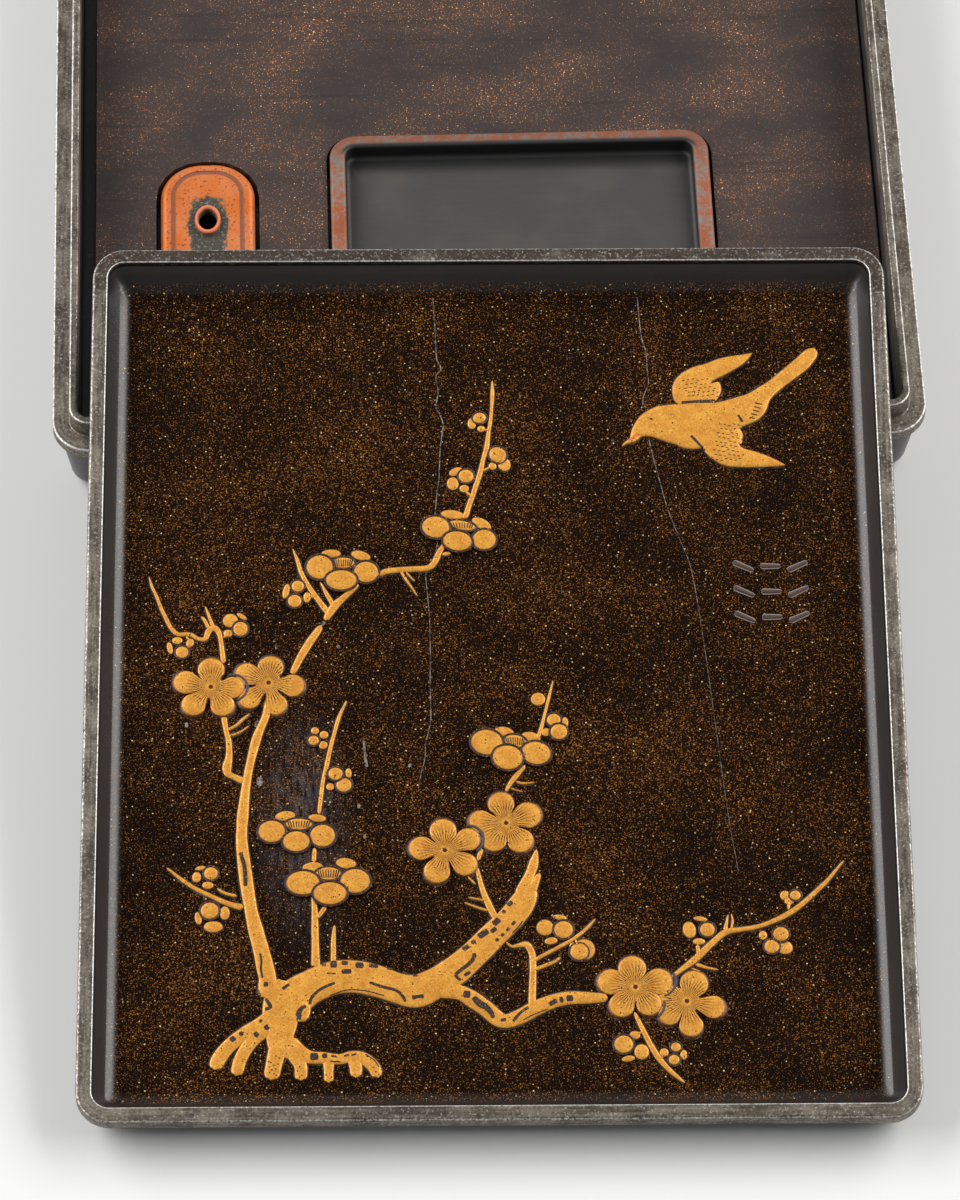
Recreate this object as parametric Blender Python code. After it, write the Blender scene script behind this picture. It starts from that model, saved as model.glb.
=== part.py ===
"""A lacquer writing box with its lid laid over the front edge. Metres, +Z up.

The box stands on its flat underside. In it a lacquered board holds an inkstone and a copper
water dropper in two fitted openings. The lid lies inside up: its far end rests on the lip of
the box's metal rim and its near end on the table, so its tilt follows from both sizes.
The frame's origin is under the middle of the whole, on the table.
"""

import math

import bmesh
import bpy
from mathutils import Matrix, Vector

# Clearance between pieces that touch
TOUCH_GAP = 0.0003

# Box, over its metal rim
BOX_WIDTH = 0.2200
BOX_LENGTH = 0.2540
BOX_CORNER = 0.0095
LEDGE_HEIGHT = 0.0214
LEDGE_WIDTH = 0.0045
LIP_THICKNESS = 0.0020
LIP_HEIGHT = 0.0056
RIM_THICKNESS = 0.0016
RIM_SKIRT_DROP = 0.0030
RIM_SKIRT_THICKNESS = 0.0012
RIM_EDGE_ROUND = 0.0006
FLOOR_THICKNESS = 0.0040
WALL_BATTER = 0.0022
FOOT_ROUND = 0.0035
SMALLEST_CORNER = 0.0025

# Board that lies in the box
BOARD_THICKNESS = 0.0080
BOARD_WIDTH_CLEARANCE = 0.0037
BOARD_END_CLEARANCE = 0.0005
BOARD_EDGE_ROUND = 0.0004

# Inkstone
STONE_WIDTH = 0.0992
STONE_LENGTH = 0.0910
STONE_HEIGHT = 0.0097
STONE_CORNER = 0.0070
STONE_FROM_MIDDLE = 0.0109
STONE_FRONT_MARGIN = 0.0078
STONE_RIM_WIDTH = 0.0040
STONE_EDGE_ROUND = 0.0008
STONE_DEPTH_FAR = 0.0046
STONE_DEPTH_NEAR = 0.0026
STONE_WELL_ROUND = 0.0014
STONE_OPENING_CLEARANCE = 0.0009

# Copper water dropper
DROPPER_WIDTH = 0.0244
DROPPER_LENGTH = 0.0560
DROPPER_HEIGHT = 0.0092
DROPPER_CORNER = 0.0108
DROPPER_WALL = 0.0010
DROPPER_EDGE_ROUND = 0.0018
DROPPER_FROM_MIDDLE = -0.0707
DROPPER_FAR_BEHIND_STONE = 0.0078
DROPPER_OPENING_CLEARANCE = 0.0012
GROOVE_INSET = 0.0033
GROOVE_WIDTH = 0.0007
GROOVE_DEPTH = 0.0003
SPOUT_FROM_FAR_END = 0.0195
SPOUT_WIDTH = 0.0067
SPOUT_LENGTH = 0.0076
SPOUT_WALL = 0.0010
SPOUT_HEIGHT = 0.0013

# Lid, over its metal rim
LID_WIDTH = 0.1985
LID_LENGTH = 0.2324
LID_CORNER = 0.0080
LID_HEIGHT = 0.0120
LID_RIM_WIDTH = 0.0038
LID_RIM_THICKNESS = 0.0013
LID_RIM_SKIRT_DROP = 0.0037
LID_RIM_SKIRT_THICKNESS = 0.0009
LID_RIM_ROUND = 0.0008
LID_SIDE_ROUND = 0.0080
LID_FIELD_LEVEL = 0.0050
LID_WALL_SPREAD = 0.0023
LID_COVE = 0.0034
LID_COVE_RISE = 0.0015
LID_COVE_KNEE = 0.0012
LID_COVE_KNEE_RISE = 0.0006

# Where the lid lies
LID_REACH = 0.1898
LID_SHIFT_LEFT = 0.0045
LID_TURN = math.radians(-1.26)

# Raised figures on the lid's field
RELIEF_SINK = 0.0010
BRANCH_HEIGHT = 0.00055
TWIG_HEIGHT = 0.00040
BLOSSOM_HEIGHT = 0.00075
SIDE_BLOSSOM_HEIGHT = 0.00068
BUD_HEIGHT = 0.00065
BIRD_HEIGHT = 0.00070
BIRD_WING_HEIGHT = 0.00055
PLATE_BEVEL = 0.00050
STROKE_HEIGHT = 0.00035
BLOSSOM_RADIUS = 0.0090
STROKE_LENGTH = 0.0050
STROKE_WIDTH = 0.0011
STROKE_LEAN = 0.0012
STROKE_COLUMN_STEP = 0.0067
STROKE_ROW_STEP = 0.0069

# Shapes of the figures, as shares of their own radius, width or height
PETAL_OUT = 0.61
PETAL_RADIUS = 0.39
SMALLEST_REACH = 0.30
FLOWER_TOP = 0.82
BAND_TOP = 0.50
BEVEL_START = 0.50
STROKE_TIP = 0.60

# Points round a corner, along an arc, round the spout and round the figures
CORNER_STEPS = 5
ARC_STEPS = 3
SPOUT_STEPS = 16
BLOSSOM_POINTS = 30
BUD_POINTS = 16
SHARP_ANGLE = math.radians(35)


def clear_scene():
    """Remove every object of the start scene."""
    for found in list(bpy.data.objects):
        bpy.data.objects.remove(found, do_unlink=True)


def make_material(name, colour, roughness, metallic=0.0):
    """A plain Principled material for one sub-part."""
    material = bpy.data.materials.new(name)
    material.use_nodes = True
    shader = material.node_tree.nodes["Principled BSDF"]
    shader.inputs["Base Color"].default_value = (*colour, 1.0)
    shader.inputs["Roughness"].default_value = roughness
    shader.inputs["Metallic"].default_value = metallic
    return material


def outline(width, length, corner, inset, smallest=SMALLEST_CORNER):
    """Points of a rounded rectangle, drawn in by inset, anticlockwise round its centre."""
    half_width = width / 2 - inset
    half_length = length / 2 - inset
    radius = min(max(corner - inset, smallest), half_width, half_length)
    points = []
    for quarter in range(4):
        start = quarter * math.pi / 2
        side_x = 1 if quarter in (0, 3) else -1
        side_y = 1 if quarter in (0, 1) else -1
        centre_x = side_x * (half_width - radius)
        centre_y = side_y * (half_length - radius)
        for step in range(CORNER_STEPS + 1):
            angle = start + step / CORNER_STEPS * math.pi / 2
            points.append((centre_x + radius * math.cos(angle), centre_y + radius * math.sin(angle)))
    return points


def at_height(points, height):
    """Lift flat points to one height."""
    return [Vector((x, y, height)) for x, y in points]


def skin(name, loops, material, ring=False):
    """One closed body through matching loops: capped at both ends, or joined round as a ring."""
    mesh = bpy.data.meshes.new(name)
    body = bmesh.new()
    rows = [[body.verts.new(point) for point in loop] for loop in loops]
    count = len(rows[0])
    pairs = list(zip(rows, rows[1:]))
    if ring:
        pairs.append((rows[-1], rows[0]))
    else:
        body.faces.new(rows[0])
        body.faces.new(rows[-1])
    for lower, upper in pairs:
        for index in range(count):
            after = (index + 1) % count
            body.faces.new((lower[index], lower[after], upper[after], upper[index]))
    bmesh.ops.recalc_face_normals(body, faces=body.faces)
    body.to_mesh(mesh)
    body.free()
    mesh.shade_smooth()
    mesh.set_sharp_from_angle(angle=SHARP_ANGLE)
    mesh.materials.append(material)
    made = bpy.data.objects.new(name, mesh)
    bpy.context.scene.collection.objects.link(made)
    return made


def arc(centre_inset, centre_height, radius, start, end):
    """Section points, as (inset, height), along an arc whose angles are in degrees."""
    points = []
    for step in range(ARC_STEPS + 1):
        angle = math.radians(start + (end - start) * step / ARC_STEPS)
        points.append((centre_inset + radius * math.cos(angle), centre_height + radius * math.sin(angle)))
    return points


def turned(name, width, length, corner, section, material, ring=False):
    """A body whose section, as (inset, height) pairs, runs round a rounded rectangle."""
    loops = [at_height(outline(width, length, corner, inset), height) for inset, height in section]
    return skin(name, loops, material, ring)


def make_body_box(material):
    """The lacquered shell: battered walls, rounded foot, flat floor, open top."""
    top = LEDGE_HEIGHT - RIM_THICKNESS - TOUCH_GAP
    outer = RIM_SKIRT_THICKNESS + TOUCH_GAP
    foot = outer + WALL_BATTER
    inner = LEDGE_WIDTH + LIP_THICKNESS
    section = arc(foot + FOOT_ROUND, FOOT_ROUND, FOOT_ROUND, 270, 180)
    section += [
        (outer, LEDGE_HEIGHT - RIM_SKIRT_DROP),
        (outer, top),
        (inner, top),
        (inner, FLOOR_THICKNESS),
    ]
    return turned("body_box", BOX_WIDTH, BOX_LENGTH, BOX_CORNER, section, material)


def make_body_rim(material):
    """The metal rim: a ledge with a skirt over the wall's outer edge and a lip inside."""
    inner = LEDGE_WIDTH + LIP_THICKNESS
    underside = LEDGE_HEIGHT - RIM_THICKNESS
    section = [
        (inner, underside),
        (inner, LEDGE_HEIGHT + LIP_HEIGHT),
        (LEDGE_WIDTH, LEDGE_HEIGHT + LIP_HEIGHT),
        (LEDGE_WIDTH, LEDGE_HEIGHT),
    ]
    section += arc(RIM_EDGE_ROUND, LEDGE_HEIGHT - RIM_EDGE_ROUND, RIM_EDGE_ROUND, 90, 180)
    section += [
        (0.0, LEDGE_HEIGHT - RIM_SKIRT_DROP),
        (RIM_SKIRT_THICKNESS, LEDGE_HEIGHT - RIM_SKIRT_DROP),
        (RIM_SKIRT_THICKNESS, underside),
    ]
    return turned("body_rim", BOX_WIDTH, BOX_LENGTH, BOX_CORNER, section, material, ring=True)


def board_level():
    """Height of the underside of what lies on the box's floor."""
    return FLOOR_THICKNESS + TOUCH_GAP


def cavity_width():
    """Inner width of the box."""
    return BOX_WIDTH - 2 * (LEDGE_WIDTH + LIP_THICKNESS)


def cavity_length():
    """Inner length of the box."""
    return BOX_LENGTH - 2 * (LEDGE_WIDTH + LIP_THICKNESS)


def stone_centre():
    """Centre of the inkstone: right of the board's middle, with its margin to the near wall."""
    y = -cavity_length() / 2 + STONE_FRONT_MARGIN + STONE_LENGTH / 2
    return Vector((STONE_FROM_MIDDLE, y, board_level()))


def dropper_centre():
    """Centre of the water dropper: left of the middle, its far end set back from the inkstone's."""
    far_end = stone_centre().y + STONE_LENGTH / 2 - DROPPER_FAR_BEHIND_STONE
    return Vector((DROPPER_FROM_MIDDLE, far_end - DROPPER_LENGTH / 2, board_level()))


def opening_cutter(name, width, length, corner, clearance, centre, material):
    """A prism through the board that clears one fitted piece all round."""
    section = [(-clearance, -BOARD_THICKNESS), (-clearance, 2 * BOARD_THICKNESS)]
    cutter = turned(name, width, length, corner, section, material)
    cutter.location = centre
    return cutter


def make_inner_board(material):
    """The board: it lies against the right wall, with openings for stone and dropper."""
    width = cavity_width() - BOARD_WIDTH_CLEARANCE
    length = cavity_length() - 2 * BOARD_END_CLEARANCE
    inner_corner = max(BOX_CORNER - LEDGE_WIDTH - LIP_THICKNESS, SMALLEST_CORNER)
    section = [
        (0.0, 0.0),
        (0.0, BOARD_THICKNESS - BOARD_EDGE_ROUND),
        (BOARD_EDGE_ROUND, BOARD_THICKNESS),
    ]
    board = turned("inner_board", width, length, inner_corner, section, material)
    against_wall = BOARD_WIDTH_CLEARANCE / 2 - TOUCH_GAP
    board.location = (against_wall, 0.0, board_level())
    stone_opening = opening_cutter("stone_opening", STONE_WIDTH, STONE_LENGTH, STONE_CORNER,
                                   STONE_OPENING_CLEARANCE, stone_centre(), material)
    combine(board, stone_opening, "DIFFERENCE")
    dropper_opening = opening_cutter("dropper_opening", DROPPER_WIDTH, DROPPER_LENGTH, DROPPER_CORNER,
                                     DROPPER_OPENING_CLEARANCE, dropper_centre(), material)
    combine(board, dropper_opening, "DIFFERENCE")
    return board


def make_inkstone(material):
    """The stone: a raised rim round a sunk floor that runs deeper towards the far end."""
    inner = STONE_RIM_WIDTH
    section = [(STONE_EDGE_ROUND, 0.0), (0.0, STONE_EDGE_ROUND)]
    section += arc(STONE_EDGE_ROUND, STONE_HEIGHT - STONE_EDGE_ROUND, STONE_EDGE_ROUND, 180, 90)
    section += [(inner - STONE_EDGE_ROUND / 2, STONE_HEIGHT), (inner, STONE_HEIGHT - STONE_EDGE_ROUND / 2)]
    loops = [at_height(outline(STONE_WIDTH, STONE_LENGTH, STONE_CORNER, inset), height)
             for inset, height in section]
    reach = STONE_LENGTH / 2 - inner
    for inset, above_floor in ((inner, STONE_WELL_ROUND), (inner + STONE_WELL_ROUND, 0.0)):
        loop = []
        for x, y in outline(STONE_WIDTH, STONE_LENGTH, STONE_CORNER, inset):
            share = (y + reach) / (2 * reach)
            depth = STONE_DEPTH_NEAR + (STONE_DEPTH_FAR - STONE_DEPTH_NEAR) * share
            loop.append(Vector((x, y, STONE_HEIGHT - depth + above_floor)))
        loops.append(loop)
    stone = skin("inkstone", loops, material)
    stone.location = stone_centre()
    return stone


def oval(name, width, length, heights, place, material):
    """An upright oval prism between two heights."""
    loops = []
    for height in heights:
        loop = []
        for step in range(SPOUT_STEPS):
            angle = step / SPOUT_STEPS * 2 * math.pi
            loop.append(Vector((width / 2 * math.cos(angle), length / 2 * math.sin(angle), height)))
        loops.append(loop)
    prism = skin(name, loops, material)
    prism.location = place
    return prism


def combine(base, tool, operation):
    """Join a guide solid to a body or cut it away; the guide itself stays out of the object."""
    tool.hide_render = True
    tool.display_type = "WIRE"
    step = base.modifiers.new(tool.name, "BOOLEAN")
    step.operation = operation
    step.solver = "EXACT"
    step.object = tool


def make_water_dropper(material):
    """The hollow copper vessel: an incised line round its top and a ringed hole into it."""
    plan = (DROPPER_WIDTH, DROPPER_LENGTH, DROPPER_CORNER)
    top = DROPPER_HEIGHT
    rounding = DROPPER_EDGE_ROUND
    section = [(rounding / 2, 0.0), (0.0, rounding / 2)]
    section += arc(rounding, top - rounding, rounding, 180, 90)
    section += [
        (GROOVE_INSET - GROOVE_WIDTH / 2, top),
        (GROOVE_INSET, top - GROOVE_DEPTH),
        (GROOVE_INSET + GROOVE_WIDTH / 2, top),
    ]
    dropper = turned("water_dropper", *plan, section, material)
    place = dropper_centre()
    dropper.location = place
    spout_place = place + Vector((0.0, DROPPER_LENGTH / 2 - SPOUT_FROM_FAR_END, 0.0))
    ring_heights = (top - DROPPER_WALL / 2, top + SPOUT_HEIGHT)
    ring = oval("spout_ring", SPOUT_WIDTH, SPOUT_LENGTH, ring_heights, spout_place, material)
    combine(dropper, ring, "UNION")
    hollow_section = [
        (DROPPER_WALL, DROPPER_WALL),
        (DROPPER_WALL, top - DROPPER_WALL - rounding),
        (DROPPER_WALL + rounding, top - DROPPER_WALL),
    ]
    hollow = turned("dropper_hollow", *plan, hollow_section, material)
    hollow.location = place
    combine(dropper, hollow, "DIFFERENCE")
    hole_width = SPOUT_WIDTH - 2 * SPOUT_WALL
    hole_length = SPOUT_LENGTH - 2 * SPOUT_WALL
    hole_heights = (top - 2 * DROPPER_WALL, top + 2 * SPOUT_HEIGHT)
    hole = oval("spout_hole", hole_width, hole_length, hole_heights, spout_place, material)
    combine(dropper, hole, "DIFFERENCE")
    return dropper


def lid_field_inset():
    """How far the lid's flat field lies inside its outer edge."""
    return LID_RIM_WIDTH + TOUCH_GAP + LID_WALL_SPREAD + LID_COVE


def make_lid_wood(material):
    """The lid's shell: a flat underside with full round sides, a sloping inner wall and a cove."""
    outer = LID_RIM_SKIRT_THICKNESS + TOUCH_GAP
    top = LID_HEIGHT - LID_RIM_THICKNESS - TOUCH_GAP
    inner = LID_RIM_WIDTH + TOUCH_GAP
    wall_foot = inner + LID_WALL_SPREAD
    section = arc(outer + LID_SIDE_ROUND, LID_SIDE_ROUND, LID_SIDE_ROUND, 270, 180)
    section += [
        (outer, top),
        (inner, top),
        (wall_foot, LID_FIELD_LEVEL + LID_COVE_RISE),
        (wall_foot + LID_COVE_KNEE, LID_FIELD_LEVEL + LID_COVE_KNEE_RISE),
        (wall_foot + LID_COVE, LID_FIELD_LEVEL),
    ]
    return turned("lid", LID_WIDTH, LID_LENGTH, LID_CORNER, section, material)


def make_lid_rim(material):
    """The metal rim on the lid's edge: a flat band with a skirt outside."""
    underside = LID_HEIGHT - LID_RIM_THICKNESS
    section = [(LID_RIM_WIDTH, underside), (LID_RIM_WIDTH, LID_HEIGHT)]
    section += arc(LID_RIM_ROUND, LID_HEIGHT - LID_RIM_ROUND, LID_RIM_ROUND, 90, 180)
    section += [
        (0.0, LID_HEIGHT - LID_RIM_SKIRT_DROP),
        (LID_RIM_SKIRT_THICKNESS, LID_HEIGHT - LID_RIM_SKIRT_DROP),
        (LID_RIM_SKIRT_THICKNESS, underside),
    ]
    return turned("lid_rim", LID_WIDTH, LID_LENGTH, LID_CORNER, section, material, ring=True)


def on_field(share_x, share_y):
    """A place on the lid's field from its centre, as shares of the field's half sizes."""
    half_width = LID_WIDTH / 2 - lid_field_inset()
    half_length = LID_LENGTH / 2 - lid_field_inset()
    return Vector((share_x * half_width, share_y * half_length, 0.0))


def smooth_path(knots, steps):
    """Points on a Catmull-Rom curve through knots, with steps between each pair."""
    padded = [2 * knots[0] - knots[1], *knots, 2 * knots[-1] - knots[-2]]
    path = []
    for index in range(1, len(padded) - 2):
        before, start, end, after = padded[index - 1:index + 3]
        for step in range(steps):
            t = step / steps
            swing = (end - before) * t + (2 * before - 5 * start + 4 * end - after) * t ** 2
            swing += (3 * start - before - 3 * end + after) * t ** 3
            path.append(start + swing / 2)
    path.append(knots[-1])
    return path


def raised_band(name, shares, widths, height, material):
    """A raised band along a smooth path through places given as shares."""
    path = smooth_path([on_field(*share) for share in shares], 2)
    return raised_path(name, path, widths, height, material)


def raised_path(name, path, widths, height, material):
    """A raised band along a path, with its widths spread evenly from start to end."""
    loops = []
    for index, point in enumerate(path):
        ahead = path[min(index + 1, len(path) - 1)] - path[max(index - 1, 0)]
        across = Vector((-ahead.y, ahead.x, 0.0)).normalized()
        place = index / (len(path) - 1) * (len(widths) - 1)
        low = min(int(place), len(widths) - 2)
        half = (widths[low] + (widths[low + 1] - widths[low]) * (place - low)) / 2
        section = ((-1.0, -RELIEF_SINK), (1.0, -RELIEF_SINK), (1.0, BEVEL_START * height),
                   (BAND_TOP, height), (-BAND_TOP, height), (-1.0, BEVEL_START * height))
        loops.append([point + across * half * side + Vector((0.0, 0.0, rise)) for side, rise in section])
    return skin(name, loops, material)


def reach_of(petals, angle):
    """How far the outline of a group of oval petals reaches from its heart at an angle."""
    cosine = math.cos(angle)
    sine = math.sin(angle)
    furthest = SMALLEST_REACH
    for x, y, half_width, half_length in petals:
        a = (cosine / half_width) ** 2 + (sine / half_length) ** 2
        b = cosine * x / half_width ** 2 + sine * y / half_length ** 2
        c = (x / half_width) ** 2 + (y / half_length) ** 2 - 1
        under_root = b * b - a * c
        if under_root >= 0:
            furthest = max(furthest, (b + math.sqrt(under_root)) / a)
    return furthest


def raised_flower(name, share, petals, radius, turn, height, points, material):
    """A flower or bud with the outline of its petals and a bevelled edge."""
    centre = on_field(*share)
    loops = []
    for scale, rise in ((1.0, -RELIEF_SINK), (1.0, BEVEL_START * height), (FLOWER_TOP, height)):
        loop = []
        for index in range(points):
            angle = index / points * 2 * math.pi
            reach = radius * scale * reach_of(petals, angle)
            place = Vector((math.cos(angle) * reach, math.sin(angle) * reach, rise))
            loop.append(centre + Matrix.Rotation(turn, 3, "Z") @ place)
        loops.append(loop)
    return skin(name, loops, material)


def raised_plate(name, shares, height, material):
    """A raised figure with a free outline, a bevelled edge and a flat top."""
    points = [on_field(*share) for share in shares]
    bevel_foot = BEVEL_START * height
    loops = [[point + Vector((0.0, 0.0, rise)) for point in points] for rise in (-RELIEF_SINK, bevel_foot)]
    plate = skin(name, loops, material)
    shape = bmesh.new()
    shape.from_mesh(plate.data)
    shape.faces.ensure_lookup_table()
    top = max(shape.faces, key=lambda face: face.calc_center_median().z)
    bmesh.ops.inset_region(shape, faces=[top], thickness=PLATE_BEVEL, depth=height - bevel_foot,
                           use_even_offset=True)
    shape.to_mesh(plate.data)
    shape.free()
    return plate


def make_tree_figures(material):
    """Trunk, roots, branches, twigs, blossoms and buds of the plum tree.

    Places are shares of the field's half sizes. Each band has its widths in metres, each blossom
    its turn in degrees, each bud its radius in metres and its turn.
    """
    branches = {
        "trunk": ([(-0.60, -0.75), (-0.58, -0.84), (-0.57, -0.90)], (0.0060, 0.0078, 0.0080)),
        "left_branch": ([(-0.59, -0.80), (-0.63, -0.63), (-0.67, -0.44), (-0.67, -0.24), (-0.62, -0.08),
                         (-0.60, -0.04)],
                        (0.0066, 0.0046, 0.0040, 0.0034, 0.0028, 0.0026)),
        "upper_branch": ([(-0.56, 0.01), (-0.49, 0.11), (-0.39, 0.24)], (0.0026, 0.0022, 0.0020)),
        "bent_branch": ([(-0.34, 0.27), (-0.24, 0.28), (-0.17, 0.285), (-0.14, 0.34)],
                        (0.0016, 0.0015, 0.0015, 0.0014)),
        "right_branch": ([(-0.58, -0.82), (-0.48, -0.74), (-0.37, -0.72), (-0.26, -0.75), (-0.15, -0.72),
                          (0.01, -0.60), (0.07, -0.53), (0.11, -0.42)],
                         (0.0070, 0.0084, 0.0080, 0.0070, 0.0078, 0.0066, 0.0048, 0.0010)),
        "low_branch": ([(-0.15, -0.73), (-0.04, -0.80), (0.02, -0.83), (0.08, -0.82), (0.16, -0.79),
                        (0.30, -0.78)],
                       (0.0060, 0.0046, 0.0040, 0.0032, 0.0024, 0.0018)),
        "long_root": ([(-0.57, -0.88), (-0.52, -0.92), (-0.45, -0.92), (-0.36, -0.92), (-0.32, -0.965)],
                      (0.0060, 0.0046, 0.0038, 0.0036, 0.0030)),
    }
    twigs = {
        "root_toe_1": ([(-0.59, -0.82), (-0.67, -0.85), (-0.73, -0.89), (-0.755, -0.94)],
                       (0.0040, 0.0034, 0.0034, 0.0028)),
        "root_toe_2": ([(-0.60, -0.85), (-0.67, -0.91), (-0.69, -0.965)], (0.0036, 0.0034, 0.0028)),
        "root_toe_3": ([(-0.58, -0.88), (-0.60, -0.97)], (0.0044, 0.0032)),
        "root_toe_4": ([(-0.54, -0.90), (-0.525, -0.975)], (0.0038, 0.0032)),
        "root_toe_5": ([(-0.45, -0.92), (-0.45, -0.98)], (0.0026, 0.0022)),
        "root_toe_6": ([(-0.385, -0.92), (-0.375, -0.965)], (0.0030, 0.0024)),
        "split_end": ([(0.05, -0.56), (0.11, -0.49)], (0.0030, 0.0014)),
        "hooked_twig": ([(-0.67, -0.25), (-0.725, -0.23), (-0.72, -0.18), (-0.735, -0.09)],
                        (0.0022, 0.0022, 0.0020, 0.0016)),
        "far_left_twig": ([(-0.735, 0.05), (-0.76, 0.13), (-0.80, 0.11), (-0.85, 0.12), (-0.92, 0.20),
                           (-0.94, 0.27)],
                          (0.0017, 0.0013, 0.0012, 0.0011, 0.0009, 0.0007)),
        "left_spray": ([(-0.67, -0.555), (-0.76, -0.53), (-0.84, -0.50), (-0.88, -0.465)],
                       (0.0012, 0.0012, 0.0009, 0.0006)),
        "upright_twig": ([(-0.475, -0.33), (-0.46, -0.23), (-0.40, -0.055)], (0.0012, 0.0012, 0.0007)),
        "bare_stem": ([(-0.485, -0.70), (-0.485, -0.53)], (0.0016, 0.0013)),
        "thorn": ([(-0.437, -0.69), (-0.435, -0.605)], (0.0012, 0.0006)),
        "crossing_twig": ([(-0.45, 0.17), (-0.51, 0.255), (-0.545, 0.335)], (0.0013, 0.0011, 0.0006)),
        "top_twig": ([(-0.075, 0.42), (-0.05, 0.48), (-0.005, 0.62), (0.008, 0.77)],
                     (0.0013, 0.0013, 0.0011, 0.0008)),
        "low_middle_twig": ([(0.02, -0.29), (0.08, -0.21)], (0.0011, 0.0013)),
        "high_middle_twig": ([(0.12, -0.14), (0.16, -0.007)], (0.0011, 0.0006)),
        "middle_stem": ([(0.01, -0.60), (-0.025, -0.55), (-0.05, -0.46)], (0.0016, 0.0016, 0.0012)),
        "fork_stem": ([(0.09, -0.81), (0.095, -0.67), (0.07, -0.645), (0.035, -0.645)],
                      (0.0014, 0.0014, 0.0012, 0.0007)),
        "fork_twig": ([(0.095, -0.685), (0.175, -0.65), (0.26, -0.59)], (0.0010, 0.0010, 0.0006)),
        "right_twig": ([(0.46, -0.73), (0.52, -0.69), (0.60, -0.63), (0.69, -0.615), (0.78, -0.58),
                        (0.91, -0.465)],
                       (0.0014, 0.0018, 0.0015, 0.0013, 0.0013, 0.0007)),
        "lower_twig": ([(0.365, -0.82), (0.41, -0.91), (0.50, -0.985)], (0.0012, 0.0010, 0.0006)),
    }
    round_petals = []
    for index in range(5):
        bearing = index / 5 * 2 * math.pi
        x = PETAL_OUT * math.cos(bearing)
        y = PETAL_OUT * math.sin(bearing)
        round_petals.append((x, y, PETAL_RADIUS, PETAL_RADIUS))
    side_petals = [(-0.70, -0.12, 0.46, 0.34), (0.0, -0.38, 0.46, 0.34), (0.70, -0.10, 0.46, 0.34),
                   (0.0, 0.16, 0.42, 0.24), (-0.42, 0.36, 0.30, 0.17), (0.44, 0.40, 0.30, 0.17)]
    bud_petals = [(0.42, 0.22, 0.56, 0.56), (-0.50, 0.18, 0.48, 0.50), (0.0, -0.62, 0.34, 0.34)]
    blossoms = ((-0.77, -0.015, 12), (-0.61, -0.005, 8), (-0.14, -0.42, 21), (0.03, -0.35, 28),
                (0.36, -0.755, 23), (0.50, -0.79, -1))
    side_blossoms = ((-0.408, 0.288, 3), (-0.09, 0.382, -14), (-0.535, -0.375, -4), (-0.447, -0.488, 1),
                     (0.045, -0.168, -13))
    buds = ((-0.54, 0.22, 0.0036, 150), (-0.705, 0.143, 0.0032, 20), (-0.852, 0.089, 0.0032, 170),
            (-0.475, -0.145, 0.0028, 130), (-0.42, -0.25, 0.0034, 20), (-0.78, -0.48, 0.0033, 10),
            (-0.76, -0.58, 0.0041, 210), (-0.085, 0.51, 0.0034, 120), (0.025, 0.565, 0.0032, 250),
            (-0.038, 0.663, 0.0023, 140), (0.12, -0.05, 0.0018, 0), (0.17, -0.117, 0.0033, 290),
            (0.153, -0.612, 0.0044, 100), (0.224, -0.664, 0.0034, 260), (0.538, -0.619, 0.0041, 20),
            (0.736, -0.645, 0.0038, 240), (0.785, -0.54, 0.0026, 10), (0.35, -0.897, 0.0043, 160),
            (0.456, -0.914, 0.0033, 300))
    figures = []
    for name, (shares, widths) in branches.items():
        figures.append(raised_band(name, shares, widths, BRANCH_HEIGHT, material))
    for name, (shares, widths) in twigs.items():
        figures.append(raised_band(name, shares, widths, TWIG_HEIGHT, material))
    for index, (x, y, turn) in enumerate(blossoms):
        figures.append(raised_flower(f"blossom_{index + 1}", (x, y), round_petals, BLOSSOM_RADIUS,
                                     math.radians(turn), BLOSSOM_HEIGHT, BLOSSOM_POINTS, material))
    for index, (x, y, turn) in enumerate(side_blossoms):
        figures.append(raised_flower(f"side_blossom_{index + 1}", (x, y), side_petals, BLOSSOM_RADIUS,
                                     math.radians(turn), SIDE_BLOSSOM_HEIGHT, BLOSSOM_POINTS, material))
    for index, (x, y, radius, turn) in enumerate(buds):
        figures.append(raised_flower(f"bud_{index + 1}", (x, y), bud_petals, radius,
                                     math.radians(turn), BUD_HEIGHT, BUD_POINTS, material))
    return figures


def make_bird_figures(material):
    """The flying bird: one outline for body, tail and lower wing, one for the upper wing."""
    body = [(0.370, 0.598), (0.406, 0.653), (0.450, 0.695), (0.527, 0.711), (0.604, 0.715),
            (0.716, 0.741), (0.786, 0.777), (0.892, 0.854), (0.913, 0.841), (0.837, 0.768),
            (0.775, 0.724), (0.713, 0.656), (0.702, 0.607), (0.806, 0.545), (0.691, 0.543),
            (0.624, 0.556), (0.566, 0.600), (0.481, 0.618), (0.413, 0.626)]
    upper_wing = [(0.530, 0.705), (0.498, 0.754), (0.521, 0.786), (0.573, 0.814), (0.642, 0.834),
                  (0.728, 0.840), (0.688, 0.802), (0.640, 0.769), (0.660, 0.720)]
    return [
        raised_plate("bird_body", body, BIRD_HEIGHT, material),
        raised_plate("bird_upper_wing", upper_wing, BIRD_WING_HEIGHT, material),
    ]


def make_stroke_figures(material):
    """Three rows of short shallow strokes below the bird, the outer ones leaning."""
    middle = on_field(0.765, 0.220)
    widths = (STROKE_WIDTH, STROKE_WIDTH * STROKE_TIP)
    figures = []
    for row in (-1, 0, 1):
        for column in (-1, 0, 1):
            centre = middle + Vector((column * STROKE_COLUMN_STEP, row * STROKE_ROW_STEP, 0.0))
            half = Vector((STROKE_LENGTH / 2, column * STROKE_LEAN, 0.0))
            name = f"stroke_{row}_{column}"
            ends = [centre - half, centre + half]
            figures.append(raised_path(name, ends, widths, STROKE_HEIGHT, material))
    return figures


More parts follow.
